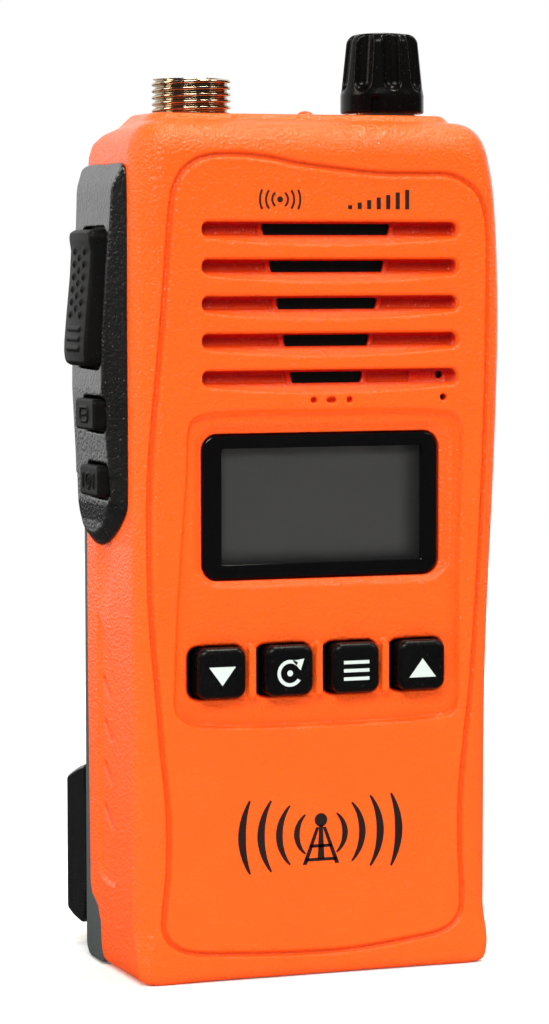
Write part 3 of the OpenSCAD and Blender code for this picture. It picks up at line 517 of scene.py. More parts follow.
def front_relief(x, z):
    """Depth of the sunk features behind the rounded front surface, with the distances to the through-openings of the
    speaker slots and to the microphone holes and vents.
    """
    # decorative line, cut with a steep outer wall and a rolled inner lip
    q = f_ring(x, z)
    t = 0.55 * (1 - sstep(0.16, 0.5, np.abs(q)))
    t = t - 0.07 * np.exp(-((q + 0.95) / 0.32) ** 2)
    # sunk lower panel
    dp = f_panel(x, z)
    tp = 1.0 * sstep(0.0, 1.0, -dp / (0.42 + 0.5 * sstep(35.9, 40, z)))
    # display pocket
    dl = rrect(x, z, LENS[0] - 17.5, LENS[1] - 10, LENS[0] + 17.5, LENS[1] + 10, 2.2)
    wide = np.where(z < LENS[1] - 9, 1.05, 1.65)
    tp = tp + 0.98 * (1 - sstep(0.1, 0.1 + wide, dl) * 0.45 - np.clip((dl - 0.1) / wide, 0, 1) * 0.55)
    # ribs between the keys
    rib = np.minimum(np.minimum(capsule2(x, z, (-9.7, 39.9), (-9.7, 46.1), 0.55), capsule2(x, z, (0.2, 39.9), (0.2, 46.1), 0.55)),
                     capsule2(x, z, (10.1, 39.9), (10.1, 46.1), 0.55))
    tp = tp * (1 - 0.97 * (1 - sstep(-0.12, 0.22, rib)))
    # speaker slots
    k = np.clip(np.floor((106.1 - z) / 5.1025), 0, 4).astype(np.int32)
    zt = 105.39 - 5.1025 * k
    s = zt - z
    u = (x - 2.1) / 19.2
    L = 2.8 + 1.0 * (1 - np.clip(u * u, 0, 1))
    inn = -rint(np.maximum(-17.1 - x, x - 21.25), np.maximum(-s, s - L), 1.35)
    sc = np.minimum(np.clip(s / 0.42, 0, 1), np.clip((L - s) / (L - 2.1), 0, 1) ** 0.7)
    ts = 1.12 * sc * sstep(-0.02, 0.5, inn)
    xl, xr = SLOT_XL[k] + 0.17 * (s - 0.7), SLOT_XR[k] - 0.17 * (s - 0.7)
    rl = np.where(k == 4, 14.0, 20.3)
    wl = np.minimum(x + 16.3, xl - 0.7 - x)
    wr = np.minimum(x - xr - 0.7, rl - x)
    wp = np.minimum(np.minimum(s - 0.68, 2.15 - s), np.maximum(wl, wr))
    ts = np.where(wp > 0, np.maximum(ts, 1.1 + 0.5 * sstep(0, 0.14, wp)), ts)
    thru = np.minimum(np.minimum(s - 0.66, 2.2 - s), np.minimum(x - xl, xr - x))
    # microphone holes and vents
    h = np.minimum(np.hypot(x - 18.5, z - 83.7) - 0.55, np.hypot(x - 18.8, z - 80.6) - 0.5)
    v = np.minimum(np.hypot(x + 0.6, z - 80.45) - 0.48, np.hypot(x - 4.7, z - 80.45) - 0.48)
    v = np.minimum(v, (np.hypot((x - 2.0) / 1.5, z - 80.45) - 0.5))
    return t + tp + ts, thru, np.minimum(h, v)


def housing(x, y, z):
    e = -f_out(x, z)
    r = np.where(z < 60, 1.7 + 2.3 * sstep(2, 9, z), 4.0 + 1.0 * sstep(108, 116, z))
    t, thru, hole = front_relief(x, z)
    shell = rint(-e, YF + t * 0.98 - y, r)
    # left flank: sunk grip panel with pill grooves
    lp = LOWPANEL(y, z)
    g = 0.42 * sstep(0.0, 0.6, -lp)
    for cy, cz in PILLS:
        a = math.radians(36)
        dx, dz = 1.65 * math.cos(a), 1.65 * math.sin(a)
        pl = capsule2(y, z, (cy - dx, cz - dz), (cy + dx, cz + dz), 0.55)
        g = g + 0.42 * (1 - sstep(-0.35, 0.3, pl))
    # soft hollow that runs down from the foot of the side panel
    sc = np.hypot((y - 2.5) / 4.2, (z - 58) / 9.0)
    g = g + 0.55 * (1 - sstep(0.2, 1.1, sc)) * (x < 0)
    shell = np.where(x < 0, smax(shell, (-26.3 + g) - x, 0.15), smax(shell, x - (28.6 - g * 0.9 - (28.45 - 26.35) * (1 - sstep(30, 80, z))), 0.25))
    shell = rint(shell, f_side(y, z), 0.5)
    # platform for the controls
    plan = rrect(x, y, -22.75, -8, 22.6, 5.5, 3.0)
    plat = rint(plan + np.maximum(z - 119, -0.8) * 1.05, z - 120, 0.4)
    plat = np.maximum(plat, 112 - z)
    body = smin(shell, plat, 0.7)
    # inside
    inner = np.maximum(f_out(x, z) + 2.0, 1.8 - z)
    inner = np.maximum(inner, np.maximum(z - 116.5, YI - y))
    inner = np.maximum(inner, f_side(y, z) + np.where(z > 112.5, 1.5, -30.0))
    keep = np.maximum(np.maximum(z - 79.4, y - YK), -(y + 30))
    inner = np.maximum(inner, -keep)
    for bx, bz in ((-19.2, 108), (22.4, 108), (-19.5, 12.5), (19.5, 12.5)):
        post = np.maximum(np.maximum(np.hypot(x - bx, z - bz) - 2.3, y - 0.9), -np.hypot(x - bx, z - bz) + 1.0)
        inner = np.maximum(inner, -post)
    body = np.maximum(body, -inner)
    # openings
    fr = np.maximum(y + 9.0, -y - 14.0)
    body = np.maximum(body, np.minimum(thru, -fr))
    hh = np.maximum(hole, np.where((z < 82) & (x < 10), y + 12.0, y + 9.5))
    body = np.maximum(body, -hh)
    dl = rrect(x, z, LENS[0] - 17.5, LENS[1] - 10, LENS[0] + 17.5, LENS[1] + 10, 2.2)
    body = np.maximum(body, -np.maximum(dl - 0.16, y - (YR + 1.95)))
    body = np.maximum(body, -np.maximum(dl + 1.5, y + 7))
    kk = np.abs(np.mod(x - KEYX[0] + 4.95, 9.9) - 4.95)
    kh = rrect(kk, z, -3.2, 39.45, 4.1, 46.72, 1.5)
    kh = np.maximum(kh, np.abs(x) - 20)
    body = smax(body, -np.maximum(kh, y + 8), 0.25)
    for cx, rr_ in ((-14.0, 5.7), (14.7, 4.25), (3.0, 1.14)):
        body = np.maximum(body, -np.maximum(np.hypot(x - cx, y) - rr_, 113 - z))
    body = np.maximum(body, -box3(x, y, z, (-29, -6.2, PTTZ - 10.7), (-22.3, 6.2, PTTZ + 10.8), 0.3))
    for sz in SBZ:
        body = np.maximum(body, -box3(x, y, z, (-29, -7.1, sz - 3.35), (-22.3, 4.9, sz + 3.35), 0.3))
    # jack seat and its holes in the right wall
    body = np.maximum(body, -box3(x, y, z, (27.05, -5.2, 84.8), (31, 9, 104.2), 0.4))
    body = np.maximum(body, -box3(x, y, z, (23.4, -2.1, 85.9), (31, 5.4, 103.3), 0.15))
    # keeper notch for the latch
    body = np.maximum(body, -box3(x, y, z, (-5, 3.2, -2), (5, 7, 3), 0.1))
    return body


case = solid("case_shell", housing, (-26.4, -13.05, -0.05), (28.5, 11, 120.05), 0.2)


def painted_shade_attribute(ob):
    """Painted shade: marks how far each front point lies down in a line, gap or slot, and in the pill grooves of the
    left flank, so the material darkens there as if shaded.
    """
    n = len(ob.data.vertices)
    co = np.empty(n * 3, F)
    ob.data.vertices.foreach_get("co", co)
    co = co.reshape(-1, 3) / MM
    x, y, z = co[:, 0], co[:, 1], co[:, 2]
    # painted shade in the decorative line, the gaps round the keys, the lens border and the slots (the slots darkest
    # at the top, lighter towards the bottom)
    q = f_ring(x, z)
    line = (1 - sstep(0.1, 0.45, np.abs(q))) * 0.3
    kk = np.abs(np.mod(x - KEYX[0] + 4.95, 9.9) - 4.95)
    gap = (1 - sstep(0.1, 0.45, rrect(kk, z, -3.2, 39.45, 4.1, 46.72, 1.5))) * (np.abs(x) < 19.9) * sstep(-12.2, -12.0, y) * 0.85
    dl = rrect(x, z, LENS[0] - 17.5, LENS[1] - 10, LENS[0] + 17.5, LENS[1] + 10, 2.2)
    lens = (1 - sstep(0.05, 0.4, dl)) * 0.8
    k = np.clip(np.floor((106.1 - z) / 5.1025), 0, 4)
    s = 105.39 - 5.1025 * k - z
    slot_in = ((s > 0.1) & (s < 2.6) & (np.abs(x - 2.1) < 19.0) & (z > 80)).astype(F) * sstep(-12.45, -11.9, y) * (1 - 0.3 * sstep(1.0, 2.4, s))
    d = np.where(y < -9.5, np.maximum(np.maximum(line, gap), np.maximum(lens, slot_in)), 0)
    pills = np.full(x.shape, 9.0, F)
    for cy, cz in PILLS:
        pills = np.minimum(pills, capsule2(y, z, (cy - 1.335, cz - 0.97), (cy + 1.335, cz + 0.97), 0.55))
    # painted shade in the pill grooves on the left flank
    d = np.where((x < -24.5) & (y > -9.5), 0.4 * (1 - sstep(-0.25, 0.2, pills)), d)
    at = ob.data.attributes.new("deep", "FLOAT", "POINT")
    at.data.foreach_set("value", d.astype(F))


painted_shade_attribute(case)
place(case, "orange", "radio", "front_housing")

# ---------------------------------------------------------------- side panel


def bezel(x, y, z):
    e = -f_bez(y, z)
    outer = np.interp(z, [59, 63.5, 66, 73, 82, 90, 106, 112, 114], [1.3, 1.5, 1.95, 2.25, 2.9, 2.8, 1.85, 1.6, 1.5]).astype(F)
    # long chamfer at the front and back, softer at both ends
    fe = (y + 8.7) * 0.98 + 0.05
    be = (10.8 - y) * 1.0 + 0.05
    te = (113.15 - z) * 0.42 + 0.3
    le = e * 0.75 + 0.25
    low = np.where(z < 70, np.minimum(le, 10), 10)
    h = -smax(smax(-fe, -be, 0.2), smax(-te, -low, 0.4), 0.3)
    h = -smax(-h, -outer, 0.3)
    b = np.maximum(-26.3 - h - x, x + 26.25)
    b = rint(b, f_bez(y, z) - 0.04, 0.25)
    # frame round the push-to-talk bar and the two small buttons
    b = smax(b, -np.maximum(rrect(y, z, -5.3, PTTZ - 9.8, 5.3, PTTZ + 9.8, 1.3), x - 20), 0.2)
    b = np.maximum(b, -box3(x, y, z, (-27.75, -6.2, PTTZ - 10.7), (-20, 6.2, PTTZ + 10.8), 0.1))
    for sz in SBZ:
        b = smax(b, -rrect(y, z, -6.2, sz - 2.5, 2.8, sz + 2.5, 0.9), 0.2)
        b = np.maximum(b, -box3(x, y, z, (-27.6, -7.1, sz - 3.35), (-20, 4.9, sz + 3.35), 0.1))
    return b


def bar(x, y, z):
    xo = np.interp(z, [84.9, 85.8, 87.2, 88.6, 92.6, 97.6, 101.1, 102.6, 103.5, 104.1], [30.9, 31.35, 31.5, 31.45, 31.1, 30.6, 30.4, 30.62, 30.65, 30.2]).astype(F)
    b = rrect(y, z, -5, PTTZ - 9.4, 5, PTTZ + 9.4, 1.3)
    face = -x - xo + 0.016 * y * y * 0.5
    b = rint(b, face, 0.55)
    b = np.maximum(b, x + 26.8)
    # raised grip dots in staggered columns over the upper part
    dots = np.full(x.shape, 9.0, F)
    for c in range(3):
        for i in range(6 - (c == 1)):
            cy, cz = (c - 1) * 2.2, 101.0 - i * 1.75 - (0.87 if c == 1 else 0)
            xs = np.interp(cz, [87.2, 88.6, 92.6, 97.6, 101.1], [31.5, 31.45, 31.1, 30.6, 30.4])
            dots = np.minimum(dots, np.sqrt((x + xs - 0.35) ** 2 + (y - cy) ** 2 + (z - cz) ** 2) - 0.62)
    b = smin(b, dots, 0.12)
    # ribs across the foot
    for i in range(3):
        cz = 90.3 - i * 1.35
        xs = np.interp(cz, [87.2, 88.6, 92.6], [31.5, 31.45, 31.1])
        q = np.sqrt((x + xs - 0.22) ** 2 + (z - cz) ** 2 + np.maximum(np.abs(y) - 2.6, 0) ** 2) - 0.42
        b = smin(b, q, 0.12)
    flange = box3(x, y, z, (-27.45, -5.9, PTTZ - 10.4), (-26.75, 5.9, PTTZ + 10.4), 0.15)
    stem = np.maximum(np.hypot(y, z - PTTZ) - 1.5, np.maximum(x + 24.6, -27 - x))
    return np.minimum(np.minimum(b, flange), stem)


def small_button(zc, xo, mark):
    yc = -1.7

    def f(x, y, z):
        b = rrect(y, z, -5.9, zc - 2.15, 2.5, zc + 2.15, 0.8)
        b = rint(b, xo - x, 0.4)
        b = np.maximum(b, x + 26.8)
        if mark == 0:
            m = np.abs(rrect(y, z, yc - 1.7, zc - 0.95, yc + 1.7, zc + 0.95, 0.5)) - 0.17
            m = np.minimum(m, capsule2(y, z, (yc - 0.9, zc), (yc + 0.9, zc), 0.16))
        else:
            m = np.abs(np.hypot(y - yc, z - zc) - 1.0) - 0.17
            m = np.minimum(m, capsule2(y, z, (yc, zc - 0.35), (yc, zc + 0.35), 0.16))
            m = np.minimum(m, capsule2(y, z, (yc - 2.4, zc - 0.9), (yc - 2.4, zc + 0.9), 0.16))
            m = np.minimum(m, capsule2(y, z, (yc + 2.4, zc - 0.9), (yc + 2.4, zc + 0.9), 0.16))
        b = np.minimum(b, np.maximum(rint(m, xo - 0.19 - x, 0.1), x - xo - 0.3))
        flange = box3(x, y, z, (-27.35, -6.8, zc - 3.05), (-26.75, 4.6, zc + 3.05), 0.12)
        stem = np.maximum(np.hypot(y + 0.5, z - zc) - 1.3, np.maximum(x + 24.3, -27 - x))
        return np.minimum(np.minimum(b, flange), stem)
    return f


place(solid("side_panel", bezel, (-29.4, -8.8, 59.6), (-26.2, 10.9, 113.3), 0.16), "bezel", "radio", "side_bezel")
place(solid("talk_bar", bar, (-31.8, -6, 84), (-24.5, 6, 105.1), 0.13), "ptt", "ptt_button", "ptt_button")
place(solid("upper_button", small_button(SBZ[0], -30.4, 0), (-30.7, -6.9, 75.4), (-24.2, 4.7, 81.7), 0.11), "ptt", "side_button_upper", "side_button_upper")
place(solid("lower_button", small_button(SBZ[1], -29.8, 1), (-30.1, -6.9, 66.2), (-24.2, 4.7, 72.5), 0.11), "ptt", "side_button_lower", "side_button_lower")

# ---------------------------------------------------------------- keys


def key_cap(cx):
    def f(x, y, z):
        b = rrect(x, z, cx - 3.14, 39.53, cx + 3.95, 46.62, 1.45)
        dish = 0.004 * ((x - cx) ** 2 + (z - 43) ** 2)
        b = rint(b, -14.0 - y + dish * 0.6, 0.95)
        b = np.maximum(b, y + 9.3)
        fl = box3(x, y, z, (cx - 4.6, YK + 0.3, 38.5), (cx + 4.6, YK + 1.1, 47.5), 0.1)
        st = np.maximum(np.hypot(x - cx, z - 43) - 1.5, np.maximum(y - YK - 1.55, YK + 0.9 - y))
        return np.minimum(np.minimum(b, fl), st)
    return f


for cx, nm in zip(KEYX, ("key_down", "key_scan", "key_menu", "key_up")):
    place(solid("cap_" + nm[4:], key_cap(cx), (cx - 4.7, -14.05, 38.4), (cx + 4.7, -7.9, 47.6), 0.13), "key", nm, nm)
ICON = (-14.02, -13.9)
k0, k1, k2, k3 = KEYX
zc = 42.75
place(prism("icon_down", [[(k0 + 0.3 - 1.95, zc + 1.25), (k0 + 0.3, zc - 1.35), (k0 + 0.3 + 1.95, zc + 1.25)]], *ICON), "icon", "key_down")
place(prism("icon_up", [[(k3 + 0.35 - 2.0, zc - 1.35), (k3 + 0.35, zc + 1.3), (k3 + 0.35 + 2.0, zc - 1.35)]], *ICON), "icon", "key_up")
cx = k1 + 0.3
sweep = [arc(cx, zc, 1.62, 0.5, 50, 325, 30), [(cx + 0.35, zc + 1.75), (cx + 2.1, zc + 1.95), (cx + 1.55, zc + 0.35)], disc(cx, zc, 0.42, 18)]
place(prism("icon_scan", sweep, *ICON), "icon", "key_scan")
cx = k2 + 0.3
place(prism("icon_menu", [[(cx - 1.9, zc + d - 0.24), (cx + 1.9, zc + d - 0.24), (cx + 1.9, zc + d + 0.24), (cx - 1.9, zc + d + 0.24)] for d in (-1.15, 0, 1.15)], *ICON),
      "icon", "key_menu")

# ---------------------------------------------------------------- printed marks
PRINT = (-13.035, -12.9)
cx, cz = -5.6, 108.05
marks = [disc(cx, cz, 0.42, 18)]
for r, a in ((1.15, 52), (2.05, 38), (2.95, 27)):
    marks += [arc(cx, cz, r, 0.3, -a, a, 14), arc(cx, cz, r, 0.3, 180 - a, 180 + a, 14)]
for i in range(7):
    x0 = 4.4 + i * 1.42
    h = 0.55 + i * 0.36
    marks.append([(x0, 106.75), (x0 + 0.62, 106.75), (x0 + 0.62, 106.75 + h), (x0, 106.75 + h)])
place(prism("upper_mark", marks, *PRINT), "print", "radio")
cx, cz = 0.3, 19.6
low = [disc(cx, cz + 2.3, 0.95, 24)]
low.append([(cx - 0.28, cz + 1.6), (cx + 0.28, cz + 1.6), (cx + 0.5, cz - 3.2), (cx - 0.5, cz - 3.2)])
for sgn in (-1, 1):
    low.append([(cx + sgn * 0.25, cz + 1.3), (cx + sgn * 0.75, cz + 1.3), (cx + sgn * 2.75, cz - 3.9), (cx + sgn * 2.1, cz - 3.9)])
low.append([(cx - 1.55, cz - 1.1), (cx + 1.55, cz - 1.1), (cx + 1.7, cz - 1.55), (cx - 1.7, cz - 1.55)])
low.append([(cx - 2.3, cz - 3.0), (cx + 2.3, cz - 3.0), (cx + 2.45, cz - 3.45), (cx - 2.45, cz - 3.45)])
for r, a, w in ((3.6, 50, 0.85), (6.2, 42, 1.0), (8.9, 34, 1.1), (11.7, 26, 1.15)):
    low += [arc(cx, cz + 0.4, r, w, -a, a, 26, 0.75), arc(cx, cz + 0.4, r, w, 180 - a, 180 + a, 26, 0.75)]
place(prism("lower_mark", low, *PRINT), "print", "radio")

# ---------------------------------------------------------------- display
LX, LZ = LENS


def lens_frame(x, y, z):
    b = rrect(x, z, LX - 17.42, LZ - 9.92, LX + 17.42, LZ + 9.92, 2.15)
    b = rint(b, YR + 0.9 - y, 0.22)
    b = np.maximum(b, y - (YR + 1.88))
    return np.maximum(b, -rrect(x, z, 1.35 - 14.9, 65.8 - 8.03, 1.35 + 14.9, 65.8 + 8.03, 0.25))


place(solid("window_border", lens_frame, (LX - 17.5, -11.15, LZ - 10), (LX + 17.5, -10, LZ + 10), 0.13), "gloss", "radio", "display_lens")
cover = prism("window_clear", [[(1.35 - 14.95, 65.8 - 8.08), (1.35 + 14.95, 65.8 - 8.08), (1.35 + 14.95, 65.8 + 8.08), (1.35 - 14.95, 65.8 + 8.08)]], YR + 0.93, YR + 1.0)
place(cover, "clear", "radio")
lcd = prism("display_glass", [[(LX - 16.9, LZ - 9.7), (LX + 16.9, LZ - 9.7), (LX + 16.9, LZ + 9.7), (LX - 16.9, LZ + 9.7)]], YK - 0.42, YK + 2)
place(lcd, "lcd", "radio", "lcd_panel")

# ---------------------------------------------------------------- knob, aerial socket, indicator
KX = 14.7


def knob(x, y, z):
    x = x - KX
    rad = np.hypot(x, y)
    R = np.interp(z, [120.3, 120.7, 123.0, 123.9, 130.4, 131.9], [5.8, 5.93, 5.93, 5.75, 5.08, 4.95]).astype(F)
    top = 131.9 - 0.018 * rad * rad
    b = rint(rad - R, z - top, 1.15)
    b = rint(b, 120.42 - z, 0.2)
    Rf = np.interp(z, [120, 123.6, 132], [5.95, 5.95, 4.98]).astype(F)
    cut = np.full(x.shape, 9.0, F)
    for i in range(8):
        a = math.radians(-90 - 5.7 - 45 * i)
        cxx, cyy = math.cos(a), math.sin(a)
        ru = x * cxx + y * cyy
        tu = -x * cyy + y * cxx
        zz = np.maximum(124.9 - z, 0)
        cut = np.minimum(cut, np.sqrt((ru - Rf - 0.3) ** 2 + tu ** 2 + zz ** 2) - 1.42)
    b = smax(b, -cut, 0.3)
    # pointer notch
    a = math.radians(-90 - 31)
    ru, tu = x * math.cos(a) + y * math.sin(a), -x * math.sin(a) + y * math.cos(a)
    n = np.sqrt(tu ** 2 + np.maximum(z - 122.2, 0) ** 2) - 0.55
    b = smax(b, -np.maximum(n, 5.4 - ru), 0.12)
    b = np.maximum(b, -np.maximum(rad - 5.1, z - 123.2))
    b = np.maximum(b, -np.maximum(rad - 3.01, z - 129.7))
    return b


place(solid("knob", knob, (KX - 6.1, -6.1, 120.3), (KX + 6.1, 6.1, 132), 0.14), "knob", "volume_knob", "volume_knob")
CX = -14.0


def thread(x, y, z):
    x = x - CX
    rad = np.hypot(x, y)
    th = np.arctan2(y, x) / (2 * math.pi)
    ph = np.mod((z - 120.1) / 0.907 - th, 1.0)
    tri = np.abs(ph - 0.5) * 2
    R = 5.03 + 0.52 * sstep(0.16, 0.72, tri)
    R = np.where(z > 124.62, np.minimum(R, 5.35), R)
    R = np.where(z < 120.05, 5.3, R)
    b = np.maximum((rad - R) * 0.75, z - 124.9)
    b = np.maximum(b, 112.8 - z)
    b = np.where(z < 116.4, np.maximum(b, rad - 5.05), b)
    b = np.maximum(b, -np.maximum(np.where(z > 124.4, rad - 4.1 - (z - 124.4) * 0.8, rad - 4.1), 117 - z))
    b = np.maximum(b, -(rad - 2.4))
    return b


def insulator(x, y, z):
    rad = np.hypot(x - CX, y)
    b = np.where(z > 118.3, rint(rad - 2.35, z - 124.3, 0.25), rad - np.where(z < 117, 2.38, 4.05))
    b = np.maximum(b, 112.4 - z)
    return np.maximum(b, -(rad - 0.95))


place(solid("aerial_thread", thread, (CX - 5.6, -5.6, 112.8), (CX + 5.6, 5.6, 124.95), 0.085), "nickel", "radio", "antenna_connector")
place(solid("aerial_insulator", insulator, (CX - 4.1, -4.1, 112.4), (CX + 4.1, 4.1, 124.35), 0.12), "insulator", "radio", "antenna_insulator")


def pilot(x, y, z):
    rad = np.hypot(x - 3, y)
    d = np.sqrt(rad ** 2 + ((z - 120.0) / 0.62) ** 2) - 1.22
    return np.minimum(np.maximum(d, 119.8 - z), np.maximum(np.where(z < 116.3, rad - 1.8, rad - 1.08), np.maximum(z - 120.0, 115.4 - z)))


place(solid("pilot_lens", pilot, (1, -2, 115.3), (5, 2, 120.8), 0.08), "led", "radio", "led_lens")

# ---------------------------------------------------------------- battery pack, rear cover, clip
BSIDE = [[5.1, 0.3], [5.3, 3], [5.5, 5.9], [6.8, 8.4], [9.6, 9.8], [10.3, 11.2], [10.7, 26], [11.15, 44], [11.15, 83.4], [13.1, 83.4], [13.1, 3.6], [12.6, 1.7], [11.5, 0.6], [10.4, 0.3]]
f_bs = Field(BSIDE, 0.1, 3)


def pack_cover(x, y, z):
    w = 26.1 - 1.4 * sstep(0, 1, (y - 12.1) / 1.2) ** 1.5
    b = rint(np.abs(x) - w, f_bs(y, z), 0.35)
    b = np.minimum(b, box3(x, y, z, (-23.9, 10.9, 2.5), (23.9, 12, 83.6), 0.1))
    for s in (-1, 1):
        tr = np.maximum(np.hypot(y - 12.2, z - 84.7) - 1.0, np.abs(x - s * 16) - 3.9)
        neck = np.maximum(np.maximum(np.abs(x - s * 16) - 3.9, np.abs(y - 12.15) - 0.75), np.maximum(z - 84.7, 82.6 - z))
        b = np.minimum(b, np.minimum(tr, neck))
    b = np.maximum(b, -box3(x, y, z, (-23.9, 0, 2.5), (23.9, 10.95, 83.7), 0.05))
    b = np.maximum(b, -box3(x, y, z, (-7, 0, 0.1), (7, 11.6, 2.3), 0.1))
    for s in (-17, 17):
        b = np.maximum(b, -np.maximum(np.hypot(x - s, z - 40) - 2.05, 12.7 - y))
    for s in (-8, 8):
        b = np.maximum(b, -np.maximum(np.hypot(x - s, z - 78.3) - 1.02, 11.3 - y))
    return b


place(solid("pack_cover", pack_cover, (-26.2, 4.9, 0.2), (26.2, 13.2, 85.8), 0.25), "battery", "battery", "battery_cover")
RSIDE = [[11.1, 84.1], [13.1, 84.1], [13.1, 92], [12.9, 94], [12.45, 96.4], [9.9, 113.2], [9.55, 113.6], [9.7, 112], [10.4, 103], [11.15, 92.2]]
f_rs = Field(RSIDE, 0.1, 3)


def rear(x, y, z):
    b = rint(f_out(x, z) + 0.25, f_rs(y, z), 0.5)
    plug = np.minimum(box3(x, y, z, (-24, 8.6, 84.1), (24, 11.3, 92), 0.05), box3(x, y, z, (-24, 7.4, 92), (24, 9.9, 109), 0.05))
    plug = np.minimum(plug, box3(x, y, z, (-24, 2.7, 84.1), (24, 9, 85.7), 0.05))
    b = np.minimum(b, plug)
    for s in (-1, 1):
        b = np.maximum(b, -np.maximum(np.hypot(y - 12.2, z - 84.7) - 1.05, np.abs(x - s * 16) - 4.2))
        b = np.maximum(b, -box3(x, y, z, (s * 16 - 4.2, 11.15, 82.7), (s * 16 + 4.2, 15.2, 84.7), 0.02))
    for xx in (-19, 19):
        for zz, yy in ((91, 11.9), (104.5, 10.1)):
            d = np.hypot(x - xx, z - zz)
            b = np.maximum(b, -np.maximum(d - 2.1, yy - y))
            b = np.maximum(b, -(d - 1.2))
    return b


place(solid("rear_plate", rear, (-26.3, 2.5, 84), (28.3, 13.2, 113.8), 0.25), "battery", "radio", "rear_cover")
PADDLE = [[13.4, 5], [22.0, 5.1], [22.7, 5.5], [23, 6.3], [23, 23.4], [22.8, 24.4], [22.1, 25.0], [14, 27.6], [13.4, 27.5]]
f_pd = Field(spline(PADDLE, 3), 0.1, 3)
PY, PZ = 18.7, 74.0


def clip(x, y, z):
    hx = 26.0 - np.where(y > 21.6, 1.0 - np.sqrt(np.maximum(1 - ((y - 21.6) / 1.45) ** 2, 0)), 0) * 1.4
    p = rint(np.abs(x) - hx, f_pd(y, z), 0.7)
    p = np.maximum(p, -box3(x, y, z, (-24.2, 10, 7), (24.2, 16.1, 23), 0.8))
    arm = box3(x, y, z, (-12, 18.1, 20), (12, 20.7, 70.2), 1.0)
    webs = np.full(x.shape, 50.0, F)
    for s in (-1, 1):
        w = np.minimum(np.maximum(np.hypot(y - PY, z - PZ) - 2.5, np.abs(x - s * 6.4) - 2.6),
                       np.maximum(capsule2(y, z, (PY + 0.75, PZ - 5.0), (PY + 0.85, PZ + 6.5), 1.25), np.abs(x - s * 6.4) - 2.6))
        webs = np.minimum(webs, w)
    tab = rint(capsule2(y, z, (PY + 1.0, PZ + 5.6), (PY + 1.75, PZ + 14.0), 0.95), np.abs(x) - 8.8, 0.6)
    for i in range(4):
        q = capsule2(y, z, (PY + 2.55, PZ + 8.4 + i * 1.7), (PY + 2.65, PZ + 8.6 + i * 1.7), 0.32)
        tab = smin(tab, np.maximum(q, np.abs(x) - 7.2), 0.15)
    b = smin(smin(p, arm, 0.8), webs, 0.3)
    b = smin(b, tab, 0.4)
    return np.maximum(b, -(np.hypot(y - PY, z - PZ) - 1.05))


place(solid("clip_body", clip, (-26.1, 13.3, 4.9), (26.1, 23.1, 89.2), 0.22), "clip", "belt_clip", "belt_clip")


def flap(x, y, z):
    b = rrect(y, z, -5, 85, 7.8, 104, 1.2)
    b = rint(b, np.maximum(f_out(x, z) + 0.12, -1e3), 0.35)
    b = np.maximum(b, 27.15 - x)
    b = np.minimum(b, box3(x, y, z, (26.2, -1.7, 86.3), (27.4, 5.0, 102.9), 0.2))
    grip = capsule2(y, z, (-3.6, 91.5), (-3.6, 97.5), 0.45)
    return np.maximum(b, -np.maximum(grip, 27.95 - x))


place(solid("jack_flap", flap, (26.1, -5.1, 84.9), (28.4, 7.9, 104.1), 0.16), "rubber", "jack_cover", "jack_cover")

# ---------------------------------------------------------------- finishes of the CAD pieces that stay
KEEP = {"speaker_mesh": "mesh", "speaker_frame": "steel", "speaker_cone": "cone", "speaker_magnet": "steel", "microphone": "aluminium",
        "microphone_boot": "rubber", "lcd_frame": "white", "backlight": "white", "keypad_mat": "grey_rubber", "front_board": "board",
        "main_board": "board", "rf_shields": "tin", "chassis": "alloy", "chassis_screws": "steel", "bay_contacts": "gold",
        "side_board": "board", "side_switches": "tin", "volume_shaft": "aluminium", "volume_control": "steel", "volume_nut": "nickel",
        "antenna_contact": "gold", "antenna_nut": "nickel", "accessory_jack": "bezel", "rear_cover_screws": "steel",
        "battery_case": "battery", "battery_cells": "cell", "battery_board": "board", "battery_terminals": "gold", "charge_contacts": "gold",
        "battery_latch": "bezel", "clip_bracket": "bezel", "clip_screws": "steel", "clip_pin": "steel", "clip_spring": "spring"}
for ob in list(scene.objects):
    node = ob.get("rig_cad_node")
    if node in KEEP and not ob.hide_render:
        if ob.data.materials:
            for i in range(len(ob.data.materials)):
                ob.data.materials[i] = M[KEEP[node]]
        else:
            ob.data.materials.append(M[KEEP[node]])

# ---------------------------------------------------------------- floor, light and camera


def plain(name, col, rough):
    k = Tree(name)
    p = k.n("ShaderNodeBsdfPrincipled")
    k.link(p.outputs[0], k.out.inputs["Surface"])
    k.link(k.mixc(k.math("MULTIPLY", k.noise(6, 2), 0.04), col, (0.78, 0.78, 0.78)), p.inputs["Base Color"])
    p.inputs["Roughness"].default_value = rough
    p.inputs["Specular IOR Level"].default_value = 0.2
    p.inputs["Emission Color"].default_value = (1, 1, 1, 1)
    p.inputs["Emission Strength"].default_value = 0.1
    return k.m


def sheet(name, corners, mat):
    me = bpy.data.meshes.new(name)
    me.from_pydata(corners, [], [(0, 1, 2, 3)])
    ob = bpy.data.objects.new(name, me)
    scene.collection.objects.link(ob)
    ob.data.materials.append(mat)
    return ob


ground = sheet("floor", [(-1.0, -0.26, 0), (1.0, -0.26, 0), (1.0, 0.7, 0), (-1.0, 0.7, 0)], plain("floor", (0.93, 0.93, 0.93), 0.6))
ground.visible_glossy = False

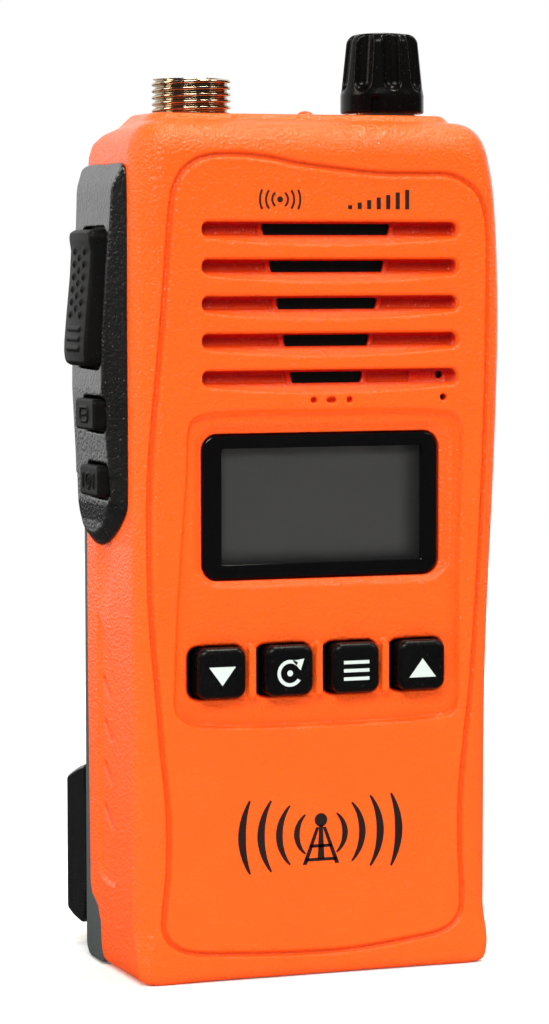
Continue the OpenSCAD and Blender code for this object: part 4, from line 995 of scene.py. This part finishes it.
# white studio: the camera sees white all round, and the object is lit by the soft boxes and a wide panel behind it
w = bpy.data.worlds.new("studio")
scene.world = w
w.use_nodes = True
nt = w.node_tree
bg = nt.nodes["Background"]
bg.inputs["Color"].default_value = (1, 1, 1, 1)
bg.inputs["Strength"].default_value = 0.06
seen = nt.nodes.new("ShaderNodeBackground")
seen.inputs["Color"].default_value = (1, 1, 1, 1)
seen.inputs["Strength"].default_value = 1.0
path = nt.nodes.new("ShaderNodeLightPath")
mix = nt.nodes.new("ShaderNodeMixShader")
nt.links.new(path.outputs["Is Camera Ray"], mix.inputs[0])
nt.links.new(bg.outputs[0], mix.inputs[1])
nt.links.new(seen.outputs[0], mix.inputs[2])
nt.links.new(mix.outputs[0], nt.nodes["World Output"].inputs["Surface"])


def softbox(name, loc, target, sx, sy, power, color=(1, 1, 1), spread=None):
    d = bpy.data.lights.new(name, "AREA")
    d.shape = "RECTANGLE"
    d.size, d.size_y = sx, sy
    d.energy = power
    d.color = color
    if spread:
        d.spread = math.radians(spread)
    o = bpy.data.objects.new(name, d)
    scene.collection.objects.link(o)
    o.location = loc
    o.rotation_mode = "QUATERNION"
    o.rotation_quaternion = (Vector(target) - Vector(loc)).to_track_quat("-Z", "Y")
    return o


T = (0, 0, 0.06)
softbox("front_high", (-0.30, -0.62, 0.72), T, 0.5, 0.3, 9.0)
softbox("overhead", (0.24, -0.06, 0.95), T, 0.34, 0.16, 8.0, (1, 0.93, 0.78))
wall = softbox("rear_wall", (0, 0.7, 0.45), (0, 0, 0.45), 2.6, 0.9, 8.4)
wall.visible_camera = False
softbox("left_high", (-0.78, 0.1, 0.5), T, 0.3, 0.4, 3.4, (1, 0.92, 0.78))
softbox("right_high", (0.62, -0.4, 0.66), T, 0.3, 0.3, 2.5)

cam = bpy.data.cameras.new("camera")
cam.sensor_width = 36
cam.lens = 3587.88 / 1024 * 36
cam.clip_start, cam.clip_end = 0.02, 30
co = bpy.data.objects.new("camera", cam)
scene.collection.objects.link(co)
a, p, r = -0.353817, 0.069294, -0.0019643
back = Vector((math.sin(a) * math.cos(p), -math.cos(a) * math.cos(p), math.sin(p)))
fwd = -back
right = fwd.cross(Vector((0, 0, 1))).normalized()
up = right.cross(fwd)
r2 = right * math.cos(r) + up * math.sin(r)
u2 = -right * math.sin(r) + up * math.cos(r)
co.matrix_world = Matrix(((r2.x, u2.x, back.x, -177.54 * MM), (r2.y, u2.y, back.y, -476.03 * MM), (r2.z, u2.z, back.z, 99.35 * MM), (0, 0, 0, 1)))
scene.camera = co
scene.view_settings.view_transform = "Standard"
